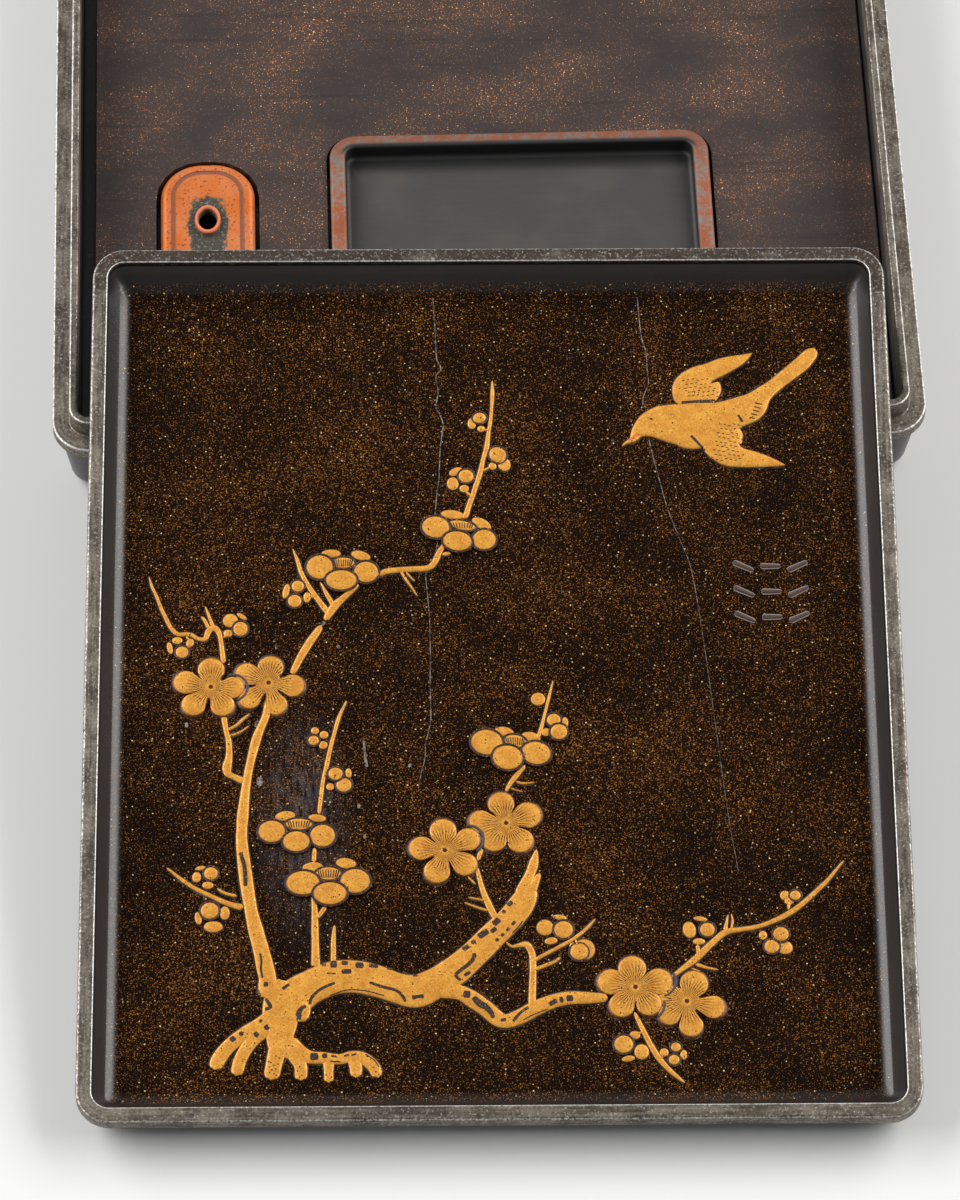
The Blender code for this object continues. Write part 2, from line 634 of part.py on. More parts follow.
def fuse(base, figures, height):
    """Join raised figures into the lid's field as one body, then drop the separate figures."""
    together = bpy.data.collections.new("raised_figures")
    bpy.context.scene.collection.children.link(together)
    for figure in figures:
        figure.location.z = height
        bpy.context.scene.collection.objects.unlink(figure)
        together.objects.link(figure)
    union = base.modifiers.new("raised_figures", "BOOLEAN")
    union.operation = "UNION"
    union.solver = "EXACT"
    union.operand_type = "COLLECTION"
    union.collection = together
    bpy.context.view_layer.update()
    evaluated = base.evaluated_get(bpy.context.evaluated_depsgraph_get())
    fused = bpy.data.meshes.new_from_object(evaluated)
    base.modifiers.clear()
    base.data = fused
    for figure in figures:
        bpy.data.objects.remove(figure, do_unlink=True)
    bpy.data.collections.remove(together)


def lay_lid(lid_pieces):
    """Lay the lid's pieces with the near end on the table and the far end on the box's lip."""
    side_inset = LID_RIM_SKIRT_THICKNESS + TOUCH_GAP + LID_SIDE_ROUND
    run = LID_REACH - side_inset
    rise = LEDGE_HEIGHT + LIP_HEIGHT - LID_SIDE_ROUND
    offset = LID_SIDE_ROUND + TOUCH_GAP
    tilt = math.atan2(offset, run) + math.asin(rise / math.hypot(run, offset))
    near_edge_height = LID_SIDE_ROUND * (1 - math.cos(tilt)) - side_inset * math.sin(tilt)
    lip_y = -BOX_LENGTH / 2 + LEDGE_WIDTH
    level_reach = LID_REACH * math.cos(tilt) + TOUCH_GAP * math.sin(tilt)
    corner_lag = LID_WIDTH / 2 * abs(math.sin(LID_TURN))
    near_edge_y = lip_y - corner_lag - level_reach * math.cos(LID_TURN)
    resting_place = bpy.data.objects.new("lid_resting_place", None)
    bpy.context.scene.collection.objects.link(resting_place)
    resting_place.location = (-LID_SHIFT_LEFT, near_edge_y, near_edge_height)
    resting_place.rotation_euler = (tilt, 0.0, LID_TURN)
    for piece in lid_pieces:
        piece.parent = resting_place
        piece.location = (0.0, LID_LENGTH / 2, 0.0)
    return resting_place


def centre_under_whole(anchors):
    """Shift the assembly so that the frame's origin lies under the middle of its outline."""
    bpy.context.view_layer.update()
    corners = []
    for piece in bpy.data.objects:
        if piece.type == "MESH" and not piece.hide_render:
            corners += [piece.matrix_world @ vertex.co for vertex in piece.data.vertices]
    middle_x = (min(corner.x for corner in corners) + max(corner.x for corner in corners)) / 2
    middle_y = (min(corner.y for corner in corners) + max(corner.y for corner in corners)) / 2
    for anchor in anchors:
        anchor.location.x -= middle_x
        anchor.location.y -= middle_y


def main():
    """Build every piece, lay the lid and centre the frame."""
    clear_scene()
    black_lacquer = make_material("black_lacquer", (0.020, 0.012, 0.012), 0.35)
    rim_metal = make_material("rim_metal", (0.20, 0.19, 0.18), 0.45, 0.85)
    board_lacquer = make_material("board_lacquer", (0.035, 0.018, 0.012), 0.30)
    slate = make_material("slate", (0.045, 0.048, 0.050), 0.60)
    copper = make_material("copper", (0.60, 0.24, 0.08), 0.50, 0.70)
    lid_lacquer = make_material("lid_lacquer", (0.040, 0.020, 0.010), 0.35)
    lid_metal = make_material("lid_metal", (0.22, 0.20, 0.19), 0.45, 0.85)
    make_body_box(black_lacquer)
    make_body_rim(rim_metal)
    make_inner_board(board_lacquer)
    make_inkstone(slate)
    make_water_dropper(copper)
    lid = make_lid_wood(lid_lacquer)
    figures = make_tree_figures(lid_lacquer)
    figures += make_bird_figures(lid_lacquer)
    figures += make_stroke_figures(lid_lacquer)
    fuse(lid, figures, LID_FIELD_LEVEL)
    lid_place = lay_lid([lid, make_lid_rim(lid_metal)])
    box_pieces = [piece for piece in bpy.data.objects if piece.parent is None]
    box_pieces.remove(lid_place)
    centre_under_whole([*box_pieces, lid_place])


main()
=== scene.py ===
"""A lacquer writing box with its lid laid over the front edge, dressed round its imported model.

Sizes are in millimetres and are turned into metres where a mesh is made. Places on the lid are
measured from the middle of its field: x to the right, y away from the near edge, z above the field.
"""

import math

import bpy
import numpy as np
from mathutils import Matrix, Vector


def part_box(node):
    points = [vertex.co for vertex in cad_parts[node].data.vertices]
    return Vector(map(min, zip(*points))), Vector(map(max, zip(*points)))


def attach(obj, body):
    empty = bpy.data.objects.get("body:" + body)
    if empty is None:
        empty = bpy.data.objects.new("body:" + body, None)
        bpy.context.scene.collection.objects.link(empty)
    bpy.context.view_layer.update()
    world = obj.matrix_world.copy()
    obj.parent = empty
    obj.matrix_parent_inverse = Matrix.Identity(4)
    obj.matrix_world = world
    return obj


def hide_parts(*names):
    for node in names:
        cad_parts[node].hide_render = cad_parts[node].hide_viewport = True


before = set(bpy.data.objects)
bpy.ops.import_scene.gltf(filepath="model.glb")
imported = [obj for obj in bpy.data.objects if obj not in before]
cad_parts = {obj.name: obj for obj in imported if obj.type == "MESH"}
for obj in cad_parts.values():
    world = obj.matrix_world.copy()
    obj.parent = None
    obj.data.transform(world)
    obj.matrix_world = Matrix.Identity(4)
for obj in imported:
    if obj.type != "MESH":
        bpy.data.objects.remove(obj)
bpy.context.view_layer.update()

# The box: thin boards under many coats of black lacquer rubbed to a satin gloss. Its walls lean in
# towards a rounded foot, and the metal rim sits on their upper edge.
MM = 0.001
BOX_WIDTH = 220.0
BOX_LENGTH = 254.0
BOX_CORNER = 9.5
LEDGE_HEIGHT = 21.4
LEDGE_WIDTH = 4.5
LIP_THICKNESS = 2.0
RIM_THICKNESS = 1.6
RIM_SKIRT_DROP = 3.0
RIM_SKIRT_THICKNESS = 1.2
TOUCH_GAP = 0.3
FLOOR_THICKNESS = 4.0
WALL_BATTER = 2.2
FOOT_ROUND = 3.5
SMALLEST_CORNER = 2.5
CORNER_STEPS = 18
SIDE_STEPS = 20
ARC_STEPS = 8
SHARP_ANGLE = math.radians(35)


def linear(code):
    """A colour as the shader takes it, from sRGB hex: each share is undone by the sRGB curve."""
    shares = np.array([int(code[place:place + 2], 16) / 255 for place in (1, 3, 5)])
    curve = np.where(shares <= 0.04045, shares / 12.92, ((shares + 0.055) / 1.055) ** 2.4)
    return (*curve.tolist(), 1.0)


def new_material(name):
    """A material with its shader: returns the material, its node tree and the shader node."""
    made = bpy.data.materials.new(name)
    made.use_nodes = True
    return made, made.node_tree, made.node_tree.nodes["Principled BSDF"]


def add_node(tree, kind, inputs, **options):
    """A node whose inputs take numbers, colours or links, and whose options set its menus."""
    node = tree.nodes.new("ShaderNode" + kind)
    for option, value in options.items():
        setattr(node, option, value)
    for socket, value in inputs.items():
        if isinstance(value, bpy.types.NodeSocket):
            tree.links.new(value, node.inputs[socket])
        else:
            node.inputs[socket].default_value = value
    return node


def rounded_rectangle(width, length, corner, inset):
    """Outline of a rounded rectangle drawn in by inset, as rows of x and y.

    Four quarter arcs of the corner's radius less the inset run anticlockwise, each followed by a
    straight side cut into equal steps, so that outlines of all insets have matching points.
    """
    radius = max(corner - inset, SMALLEST_CORNER)
    turns = np.linspace(0, math.pi / 2, CORNER_STEPS + 1)
    arcs = []
    for quarter, (side_x, side_y) in enumerate(((1, 1), (-1, 1), (-1, -1), (1, -1))):
        bearing = turns + quarter * math.pi / 2
        x = side_x * (width / 2 - inset - radius) + radius * np.cos(bearing)
        y = side_y * (length / 2 - inset - radius) + radius * np.sin(bearing)
        arcs.append(np.stack([x, y], axis=1))
    along_side = np.linspace(0, 1, SIDE_STEPS + 1)[1:-1, None]
    parts = []
    for here, after in zip(arcs, arcs[1:] + arcs[:1]):
        parts.append(here)
        parts.append(here[-1] + (after[0] - here[-1]) * along_side)
    return np.concatenate(parts)


def arc(centre_inset, centre_height, radius, start, end, steps=ARC_STEPS):
    """Section points, as (inset, height), on a circle between two angles in degrees."""
    angles = np.radians(np.linspace(start, end, steps + 1))
    insets = centre_inset + radius * np.cos(angles)
    heights = centre_height + radius * np.sin(angles)
    return list(zip(insets.tolist(), heights.tolist()))


def turned(width, length, corner, section):
    """Loops of a section carried round a rounded rectangle: loop i is the outline at inset i, at height i."""
    loops = []
    for inset, height in section:
        flat = rounded_rectangle(width, length, corner, inset)
        loops.append(np.column_stack([flat, np.full(len(flat), height)]))
    return np.array(loops)


def skin(loops, ring=False, first=0):
    """Faces between matching loops, numbered from first: capped at both ends, or joined as a ring.

    Corner j of loop i is vertex i times the loop's count plus j. The faces point outwards where the
    loops run anticlockwise and the section climbs outside and comes down inside.
    """
    rows, count = loops.shape[:2]
    numbers = np.arange(rows * count).reshape(rows, count) + first
    if ring:
        numbers = np.vstack([numbers, numbers[:1]])
    lower, upper = numbers[:-1], numbers[1:]
    corners = [lower, np.roll(lower, -1, axis=1), np.roll(upper, -1, axis=1), upper]
    faces = np.stack(corners, axis=-1).reshape(-1, 4).tolist()
    if not ring:
        faces.append(numbers[0, ::-1].tolist())
        faces.append(numbers[-1].tolist())
    return faces


def make_piece(name, points, faces, material, replaced=(), values=None, plan=None):
    """A finished piece from points in millimetres: smooth but for sharp edges, riding on the one body.

    values holds one number per point under a name for the material; plan holds a UV place per point.
    """
    mesh = bpy.data.meshes.new(name)
    mesh.from_pydata((np.asarray(points).reshape(-1, 3) * MM).tolist(), [], faces)
    mesh.shade_smooth()
    mesh.set_sharp_from_angle(angle=SHARP_ANGLE)
    for label, numbers in (values or {}).items():
        attribute = mesh.attributes.new(label, "FLOAT", "POINT")
        attribute.data.foreach_set("value", np.asarray(numbers, float).ravel())
    if plan is not None:
        owners = np.empty(len(mesh.loops), int)
        mesh.loops.foreach_get("vertex_index", owners)
        corner_places = np.asarray(plan).reshape(-1, 2)[owners]
        mesh.uv_layers.new(name="plan").data.foreach_set("uv", corner_places.ravel())
    mesh.materials.append(material)
    made = bpy.data.objects.new(name, mesh)
    bpy.context.scene.collection.objects.link(made)
    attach(made, "root")
    if replaced:
        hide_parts(*replaced)
    return made


def centre_of(node):
    """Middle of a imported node's box in millimetres, with the height of its underside."""
    low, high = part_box(node)
    return np.array([(low.x + high.x) / 2, (low.y + high.y) / 2, low.z]) / MM


# Black lacquer: gives a deep purple-brown black with soft, broad reflections, cloudy from handling,
# rubbed through to a duller grey in small spots.
box_lacquer, tree, shader = new_material("black_lacquer")
place = add_node(tree, "TexCoord", {}).outputs["Object"]
clouds = add_node(tree, "TexNoise", {"Vector": place, "Scale": 1 / (34 * MM), "Detail": 5, "Roughness": 0.6})
scuffs = add_node(tree, "TexNoise", {"Vector": place, "Scale": 1 / (1.8 * MM), "Detail": 4, "Roughness": 0.7})
cloud_share = add_node(tree, "MapRange", {"Value": clouds.outputs[0], "From Min": 0.35, "From Max": 0.65})
scuff_share = add_node(tree, "MapRange", {"Value": scuffs.outputs[0], "From Min": 0.62, "From Max": 0.74})
tone = add_node(tree, "Mix", {0: cloud_share.outputs[0], 6: linear("#1B1315"), 7: linear("#31282C")},
                data_type="RGBA")
worn = add_node(tree, "Mix", {0: scuff_share.outputs[0], 6: tone.outputs[2], 7: linear("#6E6668")},
                data_type="RGBA")
gloss = add_node(tree, "MapRange", {"Value": clouds.outputs[0], "From Min": 0.3, "From Max": 0.7,
                                    "To Min": 0.30, "To Max": 0.48})
ripple = add_node(tree, "Bump", {"Height": clouds.outputs[0], "Strength": 0.25, "Distance": 0.4 * MM})
tree.links.new(worn.outputs[2], shader.inputs["Base Color"])
tree.links.new(gloss.outputs[0], shader.inputs["Roughness"])
tree.links.new(ripple.outputs[0], shader.inputs["Normal"])
shader.inputs["IOR"].default_value = 1.55
shader.inputs["Coat Weight"].default_value = 0.35
shader.inputs["Coat Roughness"].default_value = 0.22

box_place = centre_of("body_rim") * (1, 1, 0)
wall_top = LEDGE_HEIGHT - RIM_THICKNESS - TOUCH_GAP
wall_outer = RIM_SKIRT_THICKNESS + TOUCH_GAP
foot_inset = wall_outer + WALL_BATTER
cavity_inset = LEDGE_WIDTH + LIP_THICKNESS
section = arc(foot_inset + FOOT_ROUND, FOOT_ROUND, FOOT_ROUND, 270, 180)
section += [
    (wall_outer, LEDGE_HEIGHT - RIM_SKIRT_DROP),
    (wall_outer, wall_top),
    (cavity_inset, wall_top),
    (cavity_inset, FLOOR_THICKNESS),
]
loops = turned(BOX_WIDTH, BOX_LENGTH, BOX_CORNER, section) + box_place
make_piece("box_shell", loops, skin(loops), box_lacquer, ["body_box"])

# The rim: a strip of dull pewter-like metal bent to an angle, with a broad ledge that the lid closes
# on, a raised lip inside it and a short skirt over the outside of the wall.
LIP_HEIGHT = 5.6
RIM_EDGE_ROUND = 0.6
LIP_EDGE_ROUND = 0.5
LIP_FOOT_ROUND = 0.4

# Old pewter-like metal: gives a matt olive-grey with a mottled tarnish, dark specks and pale bright
# flecks, and a broken bright line on every rounded edge, partly metal rubbed by hands and lid and partly
# painted highlight.
rim_metal, tree, shader = new_material("rim_metal")
place = add_node(tree, "TexCoord", {}).outputs["Object"]
edge = add_node(tree, "Attribute", {}, attribute_name="edge").outputs["Fac"]
tarnish = add_node(tree, "TexNoise", {"Vector": place, "Scale": 1 / (7 * MM), "Detail": 6, "Roughness": 0.65})
grain = add_node(tree, "TexNoise", {"Vector": place, "Scale": 1 / (0.7 * MM), "Detail": 4, "Roughness": 0.75})
across = add_node(tree, "Attribute", {}, attribute_name="across").outputs["Fac"]
browned = add_node(tree, "Attribute", {}, attribute_name="browned").outputs["Fac"]
run_out = add_node(tree, "CombineXYZ", {"Z": across})
drawn_out = add_node(tree, "Mapping", {"Vector": place, "Location": run_out.outputs[0],
                                       "Scale": (0.06, 0.06, 0.0)})
streaks = add_node(tree, "TexNoise", {"Vector": drawn_out.outputs[0], "Scale": 1 / (0.8 * MM), "Detail": 4,
                                      "Roughness": 0.6})
stains = add_node(tree, "TexNoise", {"Vector": place, "Scale": 1 / (10 * MM), "Detail": 7, "Roughness": 0.72})
stain_field = add_node(tree, "Math", {0: browned, 1: 0.26, 2: stains.outputs[0]}, operation="MULTIPLY_ADD")
stain_share = add_node(tree, "MapRange", {"Value": stain_field.outputs[0], "From Min": 0.54, "From Max": 0.70,
                                          "To Max": 0.85})
tarnish_mix = add_node(tree, "Math", {0: tarnish.outputs[0], 1: streaks.outputs[0]}, operation="ADD")
tarnish_share = add_node(tree, "MapRange", {"Value": tarnish_mix.outputs[0], "From Min": 0.82,
                                            "From Max": 1.18})
fleck_share = add_node(tree, "MapRange", {"Value": grain.outputs[0], "From Min": 0.56, "From Max": 0.70})
speck_share = add_node(tree, "MapRange", {"Value": grain.outputs[0], "From Min": 0.44, "From Max": 0.32})
tone = add_node(tree, "Mix", {0: tarnish_share.outputs[0], 6: linear("#50463C"), 7: linear("#8C8274")},
                data_type="RGBA")
stained = add_node(tree, "Mix", {0: stain_share.outputs[0], 6: tone.outputs[2], 7: linear("#3C2E24")},
                   data_type="RGBA")
specked = add_node(tree, "Mix", {0: speck_share.outputs[0], 6: stained.outputs[2], 7: linear("#322D2A")},
                   data_type="RGBA")
flecked = add_node(tree, "Mix", {0: fleck_share.outputs[0], 6: specked.outputs[2], 7: linear("#C9C6C0")},
                   data_type="RGBA")
# The bright edge line: rubbed metal and a painted highlight where the rounded edges catch the light.
edge_break = add_node(tree, "Math", {0: edge, 1: grain.outputs[0]}, operation="MULTIPLY")
rub_and_highlight_share = add_node(tree, "MapRange", {"Value": edge_break.outputs[0], "From Min": 0.30, "From Max": 0.52})
rubbed = add_node(tree, "Mix", {0: rub_and_highlight_share.outputs[0], 6: flecked.outputs[2], 7: linear("#E4E2DE")},
                  data_type="RGBA")
gloss = add_node(tree, "MapRange", {"Value": grain.outputs[0], "From Min": 0.3, "From Max": 0.7,
                                    "To Min": 0.55, "To Max": 0.38})
pits = add_node(tree, "Bump", {"Height": grain.outputs[0], "Strength": 0.35, "Distance": 0.08 * MM})
tree.links.new(rubbed.outputs[2], shader.inputs["Base Color"])
tree.links.new(gloss.outputs[0], shader.inputs["Roughness"])
tree.links.new(pits.outputs[0], shader.inputs["Normal"])
shader.inputs["Metallic"].default_value = 0.55


def section_run(section):
    """Metres run along a section up to each of its points, for streaks that follow the metal strip."""
    return np.concatenate([[0], np.cumsum(np.hypot(*np.diff(section, axis=0).T))]) * MM


lip_top = LEDGE_HEIGHT + LIP_HEIGHT
section = [(RIM_SKIRT_THICKNESS, LEDGE_HEIGHT - RIM_THICKNESS),
           (RIM_SKIRT_THICKNESS, LEDGE_HEIGHT - RIM_SKIRT_DROP),
           (0.0, LEDGE_HEIGHT - RIM_SKIRT_DROP)]
# Share of the bright edge line at each section point, highest on the rounded edges: rubbed metal and painted
# highlight.
edge_rub_and_highlight = [0, 0, 0.2]
section += arc(RIM_EDGE_ROUND, LEDGE_HEIGHT - RIM_EDGE_ROUND, RIM_EDGE_ROUND, 180, 90)
edge_rub_and_highlight += [0.2, 0.5, 0.8, 1.0, 1.0, 1.0, 0.8, 0.5, 0.2]
section += arc(LEDGE_WIDTH - LIP_FOOT_ROUND, LEDGE_HEIGHT + LIP_FOOT_ROUND, LIP_FOOT_ROUND, 270, 360)
edge_rub_and_highlight += [0] * (ARC_STEPS + 1)
section += arc(LEDGE_WIDTH + LIP_EDGE_ROUND, lip_top - LIP_EDGE_ROUND, LIP_EDGE_ROUND, 180, 90)
edge_rub_and_highlight += [0.1, 0.4, 0.8, 1.0, 1.0, 1.0, 0.7, 0.5, 0.3]
section += arc(cavity_inset - LIP_EDGE_ROUND, lip_top - LIP_EDGE_ROUND, LIP_EDGE_ROUND, 90, 0)
edge_rub_and_highlight += [0.2, 0.3, 0.5, 0.7, 0.7, 0.5, 0.3, 0.1, 0]
section += [(cavity_inset, LEDGE_HEIGHT - RIM_THICKNESS)]
edge_rub_and_highlight += [0]
loops = turned(BOX_WIDTH, BOX_LENGTH, BOX_CORNER, section) + box_place
count = loops.shape[1]
make_piece("box_rim", loops, skin(loops, ring=True), rim_metal, ["body_rim"],
           {"edge": np.repeat(edge_rub_and_highlight, count), "across": np.repeat(section_run(section), count)})

# The inner board: a loose lacquered board with fitted openings for the stone and the dropper. It is
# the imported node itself, with the dark sprinkled lacquer of the box's inside.
CLOUD_WIDTH = 18.0
SPECK_SPACING = 0.44
FLECK_SPACING = 1.2
LEVEL_LINE_SPACING = 2.2

# Sprinkled lacquer: gives a red-brown black with copper and gold specks lying in loose clouds and fine
# dark level lines, under a clear coat with soft reflections.
board_lacquer, tree, shader = new_material("board_lacquer")
place = add_node(tree, "TexCoord", {}).outputs["Object"]
drifted = add_node(tree, "Mapping", {"Vector": place, "Scale": (0.6, 1.0, 1.0)})
clouds = add_node(tree, "TexNoise", {"Vector": drifted.outputs[0], "Scale": 1 / (CLOUD_WIDTH * MM),
                                     "Detail": 4, "Roughness": 0.55})
specks = add_node(tree, "TexVoronoi", {"Vector": place, "Scale": 1 / (SPECK_SPACING * MM), "Randomness": 1.0})
flecks = add_node(tree, "TexVoronoi", {"Vector": place, "Scale": 1 / (FLECK_SPACING * MM), "Randomness": 1.0})
cloud_share = add_node(tree, "MapRange", {"Value": clouds.outputs[0], "From Min": 0.36, "From Max": 0.66,
                                          "To Min": 0.12, "To Max": 0.35})
speck_size = add_node(tree, "Math", {0: specks.outputs["Distance"], 1: cloud_share.outputs[0]},
                      operation="LESS_THAN")
fleck_hue = add_node(tree, "SeparateColor", {"Color": flecks.outputs["Color"]})
fleck_most = add_node(tree, "Math", {0: cloud_share.outputs[0], 1: 0.62}, operation="MULTIPLY")
fleck_reach = add_node(tree, "Math", {0: fleck_hue.outputs[0], 1: fleck_most.outputs[0]},
                       operation="MULTIPLY")
fleck_size = add_node(tree, "Math", {0: flecks.outputs["Distance"], 1: fleck_reach.outputs[0]},
                      operation="LESS_THAN")
hue = add_node(tree, "SeparateColor", {"Color": specks.outputs["Color"]})
bright = add_node(tree, "Math", {0: hue.outputs[0], 1: 2.0}, operation="POWER")
speck_tone = add_node(tree, "Mix", {0: bright.outputs[0], 6: linear("#5C3A2C"), 7: linear("#CC8650")},
                      data_type="RGBA")
tint = add_node(tree, "MapRange", {"Value": clouds.outputs[0], "From Min": 0.32, "From Max": 0.72})
base = add_node(tree, "Mix", {0: tint.outputs[0], 6: linear("#2C2422"), 7: linear("#45342D")},
                data_type="RGBA")
specked = add_node(tree, "Mix", {0: speck_size.outputs[0], 6: base.outputs[2], 7: speck_tone.outputs[2]},
                   data_type="RGBA")
flecked = add_node(tree, "Mix", {0: fleck_size.outputs[0], 6: specked.outputs[2], 7: linear("#D8A468")},
                   data_type="RGBA")
level = add_node(tree, "Mapping", {"Vector": place, "Scale": (0.04, 1.0, 1.0)})
lines = add_node(tree, "TexNoise", {"Vector": level.outputs[0], "Scale": 1 / (LEVEL_LINE_SPACING * MM),
                                    "Detail": 3, "Roughness": 0.6})
line_share = add_node(tree, "MapRange", {"Value": lines.outputs[0], "From Min": 0.58, "From Max": 0.68,
                                         "To Max": 0.42})
lined = add_node(tree, "Mix", {0: line_share.outputs[0], 6: flecked.outputs[2], 7: linear("#1C1513")},
                 data_type="RGBA")
tree.links.new(lined.outputs[2], shader.inputs["Base Color"])
shader.inputs["Roughness"].default_value = 0.42
shader.inputs["IOR"].default_value = 1.5
shader.inputs["Coat Weight"].default_value = 0.25
shader.inputs["Coat Roughness"].default_value = 0.18
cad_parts["inner_board"].data.materials.clear()
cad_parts["inner_board"].data.materials.append(board_lacquer)

# The inkstone: a slab of fine slate, ground flat with a well that runs deeper towards the far end.
# Its raised rim is lacquered red over the stone and worn.
STONE_WIDTH = 99.2
STONE_LENGTH = 91.0
STONE_HEIGHT = 9.7
STONE_CORNER = 7.0
STONE_RIM_WIDTH = 4.0
STONE_EDGE_ROUND = 0.8
STONE_DEPTH_FAR = 4.6
STONE_DEPTH_NEAR = 2.6
STONE_WELL_ROUND = 1.4
WELL_FLOOR_INSETS = (3.0, 4.5, 6.0, 8.0, 12.0)
# Old ink and painted shade in the well: darkest along its walls and fading over the floor, thinning towards
# the near end, with a painted shadow pool with old ink below the far wall.
WELL_INK_AND_SHADE = [1, 1, 1, 1, 0.9, 0.8, 0.6, 0.5, 0.4, 0.25, 0.2, 0.15, 0.05, 0]
INK_AND_SHADE_THINNING = 30.0
INK_AND_SHADE_AT_MIDDLE = 0.6
INK_AND_SHADE_LEAST = 0.25
INK_AND_SHADOW_POOL_REACH = 6.0
INK_AND_SHADOW_POOL_FADE = 2.0
FAR_PAINT_WIDTH = 2.3
# Reach and fade of the painted shade on the far rim's rounded inner edge.
FAR_SIDE_REACH = 7.0
FAR_SIDE_FADE = 2.0
FAR_WEAR = 0.35
FAR_WEAR_START = 30.0
FAR_WEAR_FADE = 12.0

# Slate and worn red lacquer: gives a smooth blue-grey floor with fine level grain, darkened by old ink
# and painted shade towards its walls and far end, and a broken orange-red band with the grey stone
# showing through where it is rubbed, painted dark as shade along its inner edge on the far side.
slate, tree, shader = new_material("slate")
place = add_node(tree, "TexCoord", {}).outputs["Object"]
painted = add_node(tree, "Attribute", {}, attribute_name="painted").outputs["Fac"]
ink_and_shade = add_node(tree, "Attribute", {}, attribute_name="ink_and_shade").outputs["Fac"]
long_grain = add_node(tree, "Mapping", {"Vector": place, "Scale": (0.10, 1.0, 1.0)})
grain = add_node(tree, "TexNoise", {"Vector": long_grain.outputs[0], "Scale": 1 / (1.1 * MM), "Detail": 5,
                                    "Roughness": 0.7})
haze = add_node(tree, "TexNoise", {"Vector": place, "Scale": 1 / (26 * MM), "Detail": 4, "Roughness": 0.55})
patches = add_node(tree, "TexNoise", {"Vector": place, "Scale": 1 / (6.5 * MM), "Detail": 6,
                                      "Roughness": 0.68})
chips = add_node(tree, "TexNoise", {"Vector": place, "Scale": 1 / (0.9 * MM), "Detail": 4,
                                    "Roughness": 0.7})
stone_tone = add_node(tree, "Mix", {0: grain.outputs[0], 6: linear("#2A2A29"), 7: linear("#3C3A38")},
                      data_type="RGBA")
haze_share = add_node(tree, "MapRange", {"Value": haze.outputs[0], "From Min": 0.45, "From Max": 0.7,
                                         "To Max": 0.45})
hazed = add_node(tree, "Mix", {0: haze_share.outputs[0], 6: stone_tone.outputs[2], 7: linear("#51483F")},
                 data_type="RGBA")
inky_and_shaded = add_node(tree, "Mix", {0: ink_and_shade, 6: hazed.outputs[2], 7: linear("#151413")}, data_type="RGBA")
worn_tone = add_node(tree, "Mix", {0: chips.outputs[0], 6: linear("#4A4240"), 7: linear("#8C827C")},
                     data_type="RGBA")
paint_tone = add_node(tree, "Mix", {0: patches.outputs[0], 6: linear("#6A3018"), 7: linear("#B05E2C")},
                      data_type="RGBA")
wear_field = add_node(tree, "Math", {0: patches.outputs[0], 1: chips.outputs[0]}, operation="ADD")
wear_share = add_node(tree, "MapRange", {"Value": wear_field.outputs[0], "From Min": 0.97,
                                         "From Max": 1.12})
band_tone = add_node(tree, "Mix", {0: wear_share.outputs[0], 6: paint_tone.outputs[2],
                                   7: worn_tone.outputs[2]}, data_type="RGBA")
surface = add_node(tree, "Mix", {0: painted, 6: inky_and_shaded.outputs[2], 7: band_tone.outputs[2]},
                   data_type="RGBA")
roughness = add_node(tree, "MapRange", {"Value": grain.outputs[0], "To Min": 0.62, "To Max": 0.46})
tooth = add_node(tree, "Bump", {"Height": chips.outputs[0], "Strength": 0.3, "Distance": 0.08 * MM})
tree.links.new(surface.outputs[2], shader.inputs["Base Color"])
tree.links.new(roughness.outputs[0], shader.inputs["Roughness"])
tree.links.new(tooth.outputs[0], shader.inputs["Normal"])
shader.inputs["IOR"].default_value = 1.55

stone_place = centre_of("inkstone")
section = [(STONE_EDGE_ROUND, 0.0), (0.0, STONE_EDGE_ROUND)]
section += arc(STONE_EDGE_ROUND, STONE_HEIGHT - STONE_EDGE_ROUND, STONE_EDGE_ROUND, 180, 90)
section += [(FAR_PAINT_WIDTH, STONE_HEIGHT)]
section += arc(STONE_RIM_WIDTH - STONE_EDGE_ROUND, STONE_HEIGHT - STONE_EDGE_ROUND, STONE_EDGE_ROUND, 90, 0)
band_loops = turned(STONE_WIDTH, STONE_LENGTH, STONE_CORNER, section)
reach = STONE_LENGTH / 2 - STONE_RIM_WIDTH
well = arc(STONE_RIM_WIDTH + STONE_WELL_ROUND, STONE_WELL_ROUND, STONE_WELL_ROUND, 180, 270)
well += [(STONE_RIM_WIDTH + inset, 0.0) for inset in WELL_FLOOR_INSETS]
well_loops = turned(STONE_WIDTH, STONE_LENGTH, STONE_CORNER, well)
slope_share = (well_loops[:, :, 1] + reach) / (2 * reach)
well_loops[:, :, 2] += STONE_HEIGHT - STONE_DEPTH_NEAR - (STONE_DEPTH_FAR - STONE_DEPTH_NEAR) * slope_share
loops = np.concatenate([band_loops, well_loops])
paint_rows = [0, 1] + [1] * (2 * ARC_STEPS + 3) + [0] * len(well)
paint_rows[-len(well) - 1] = 0.0
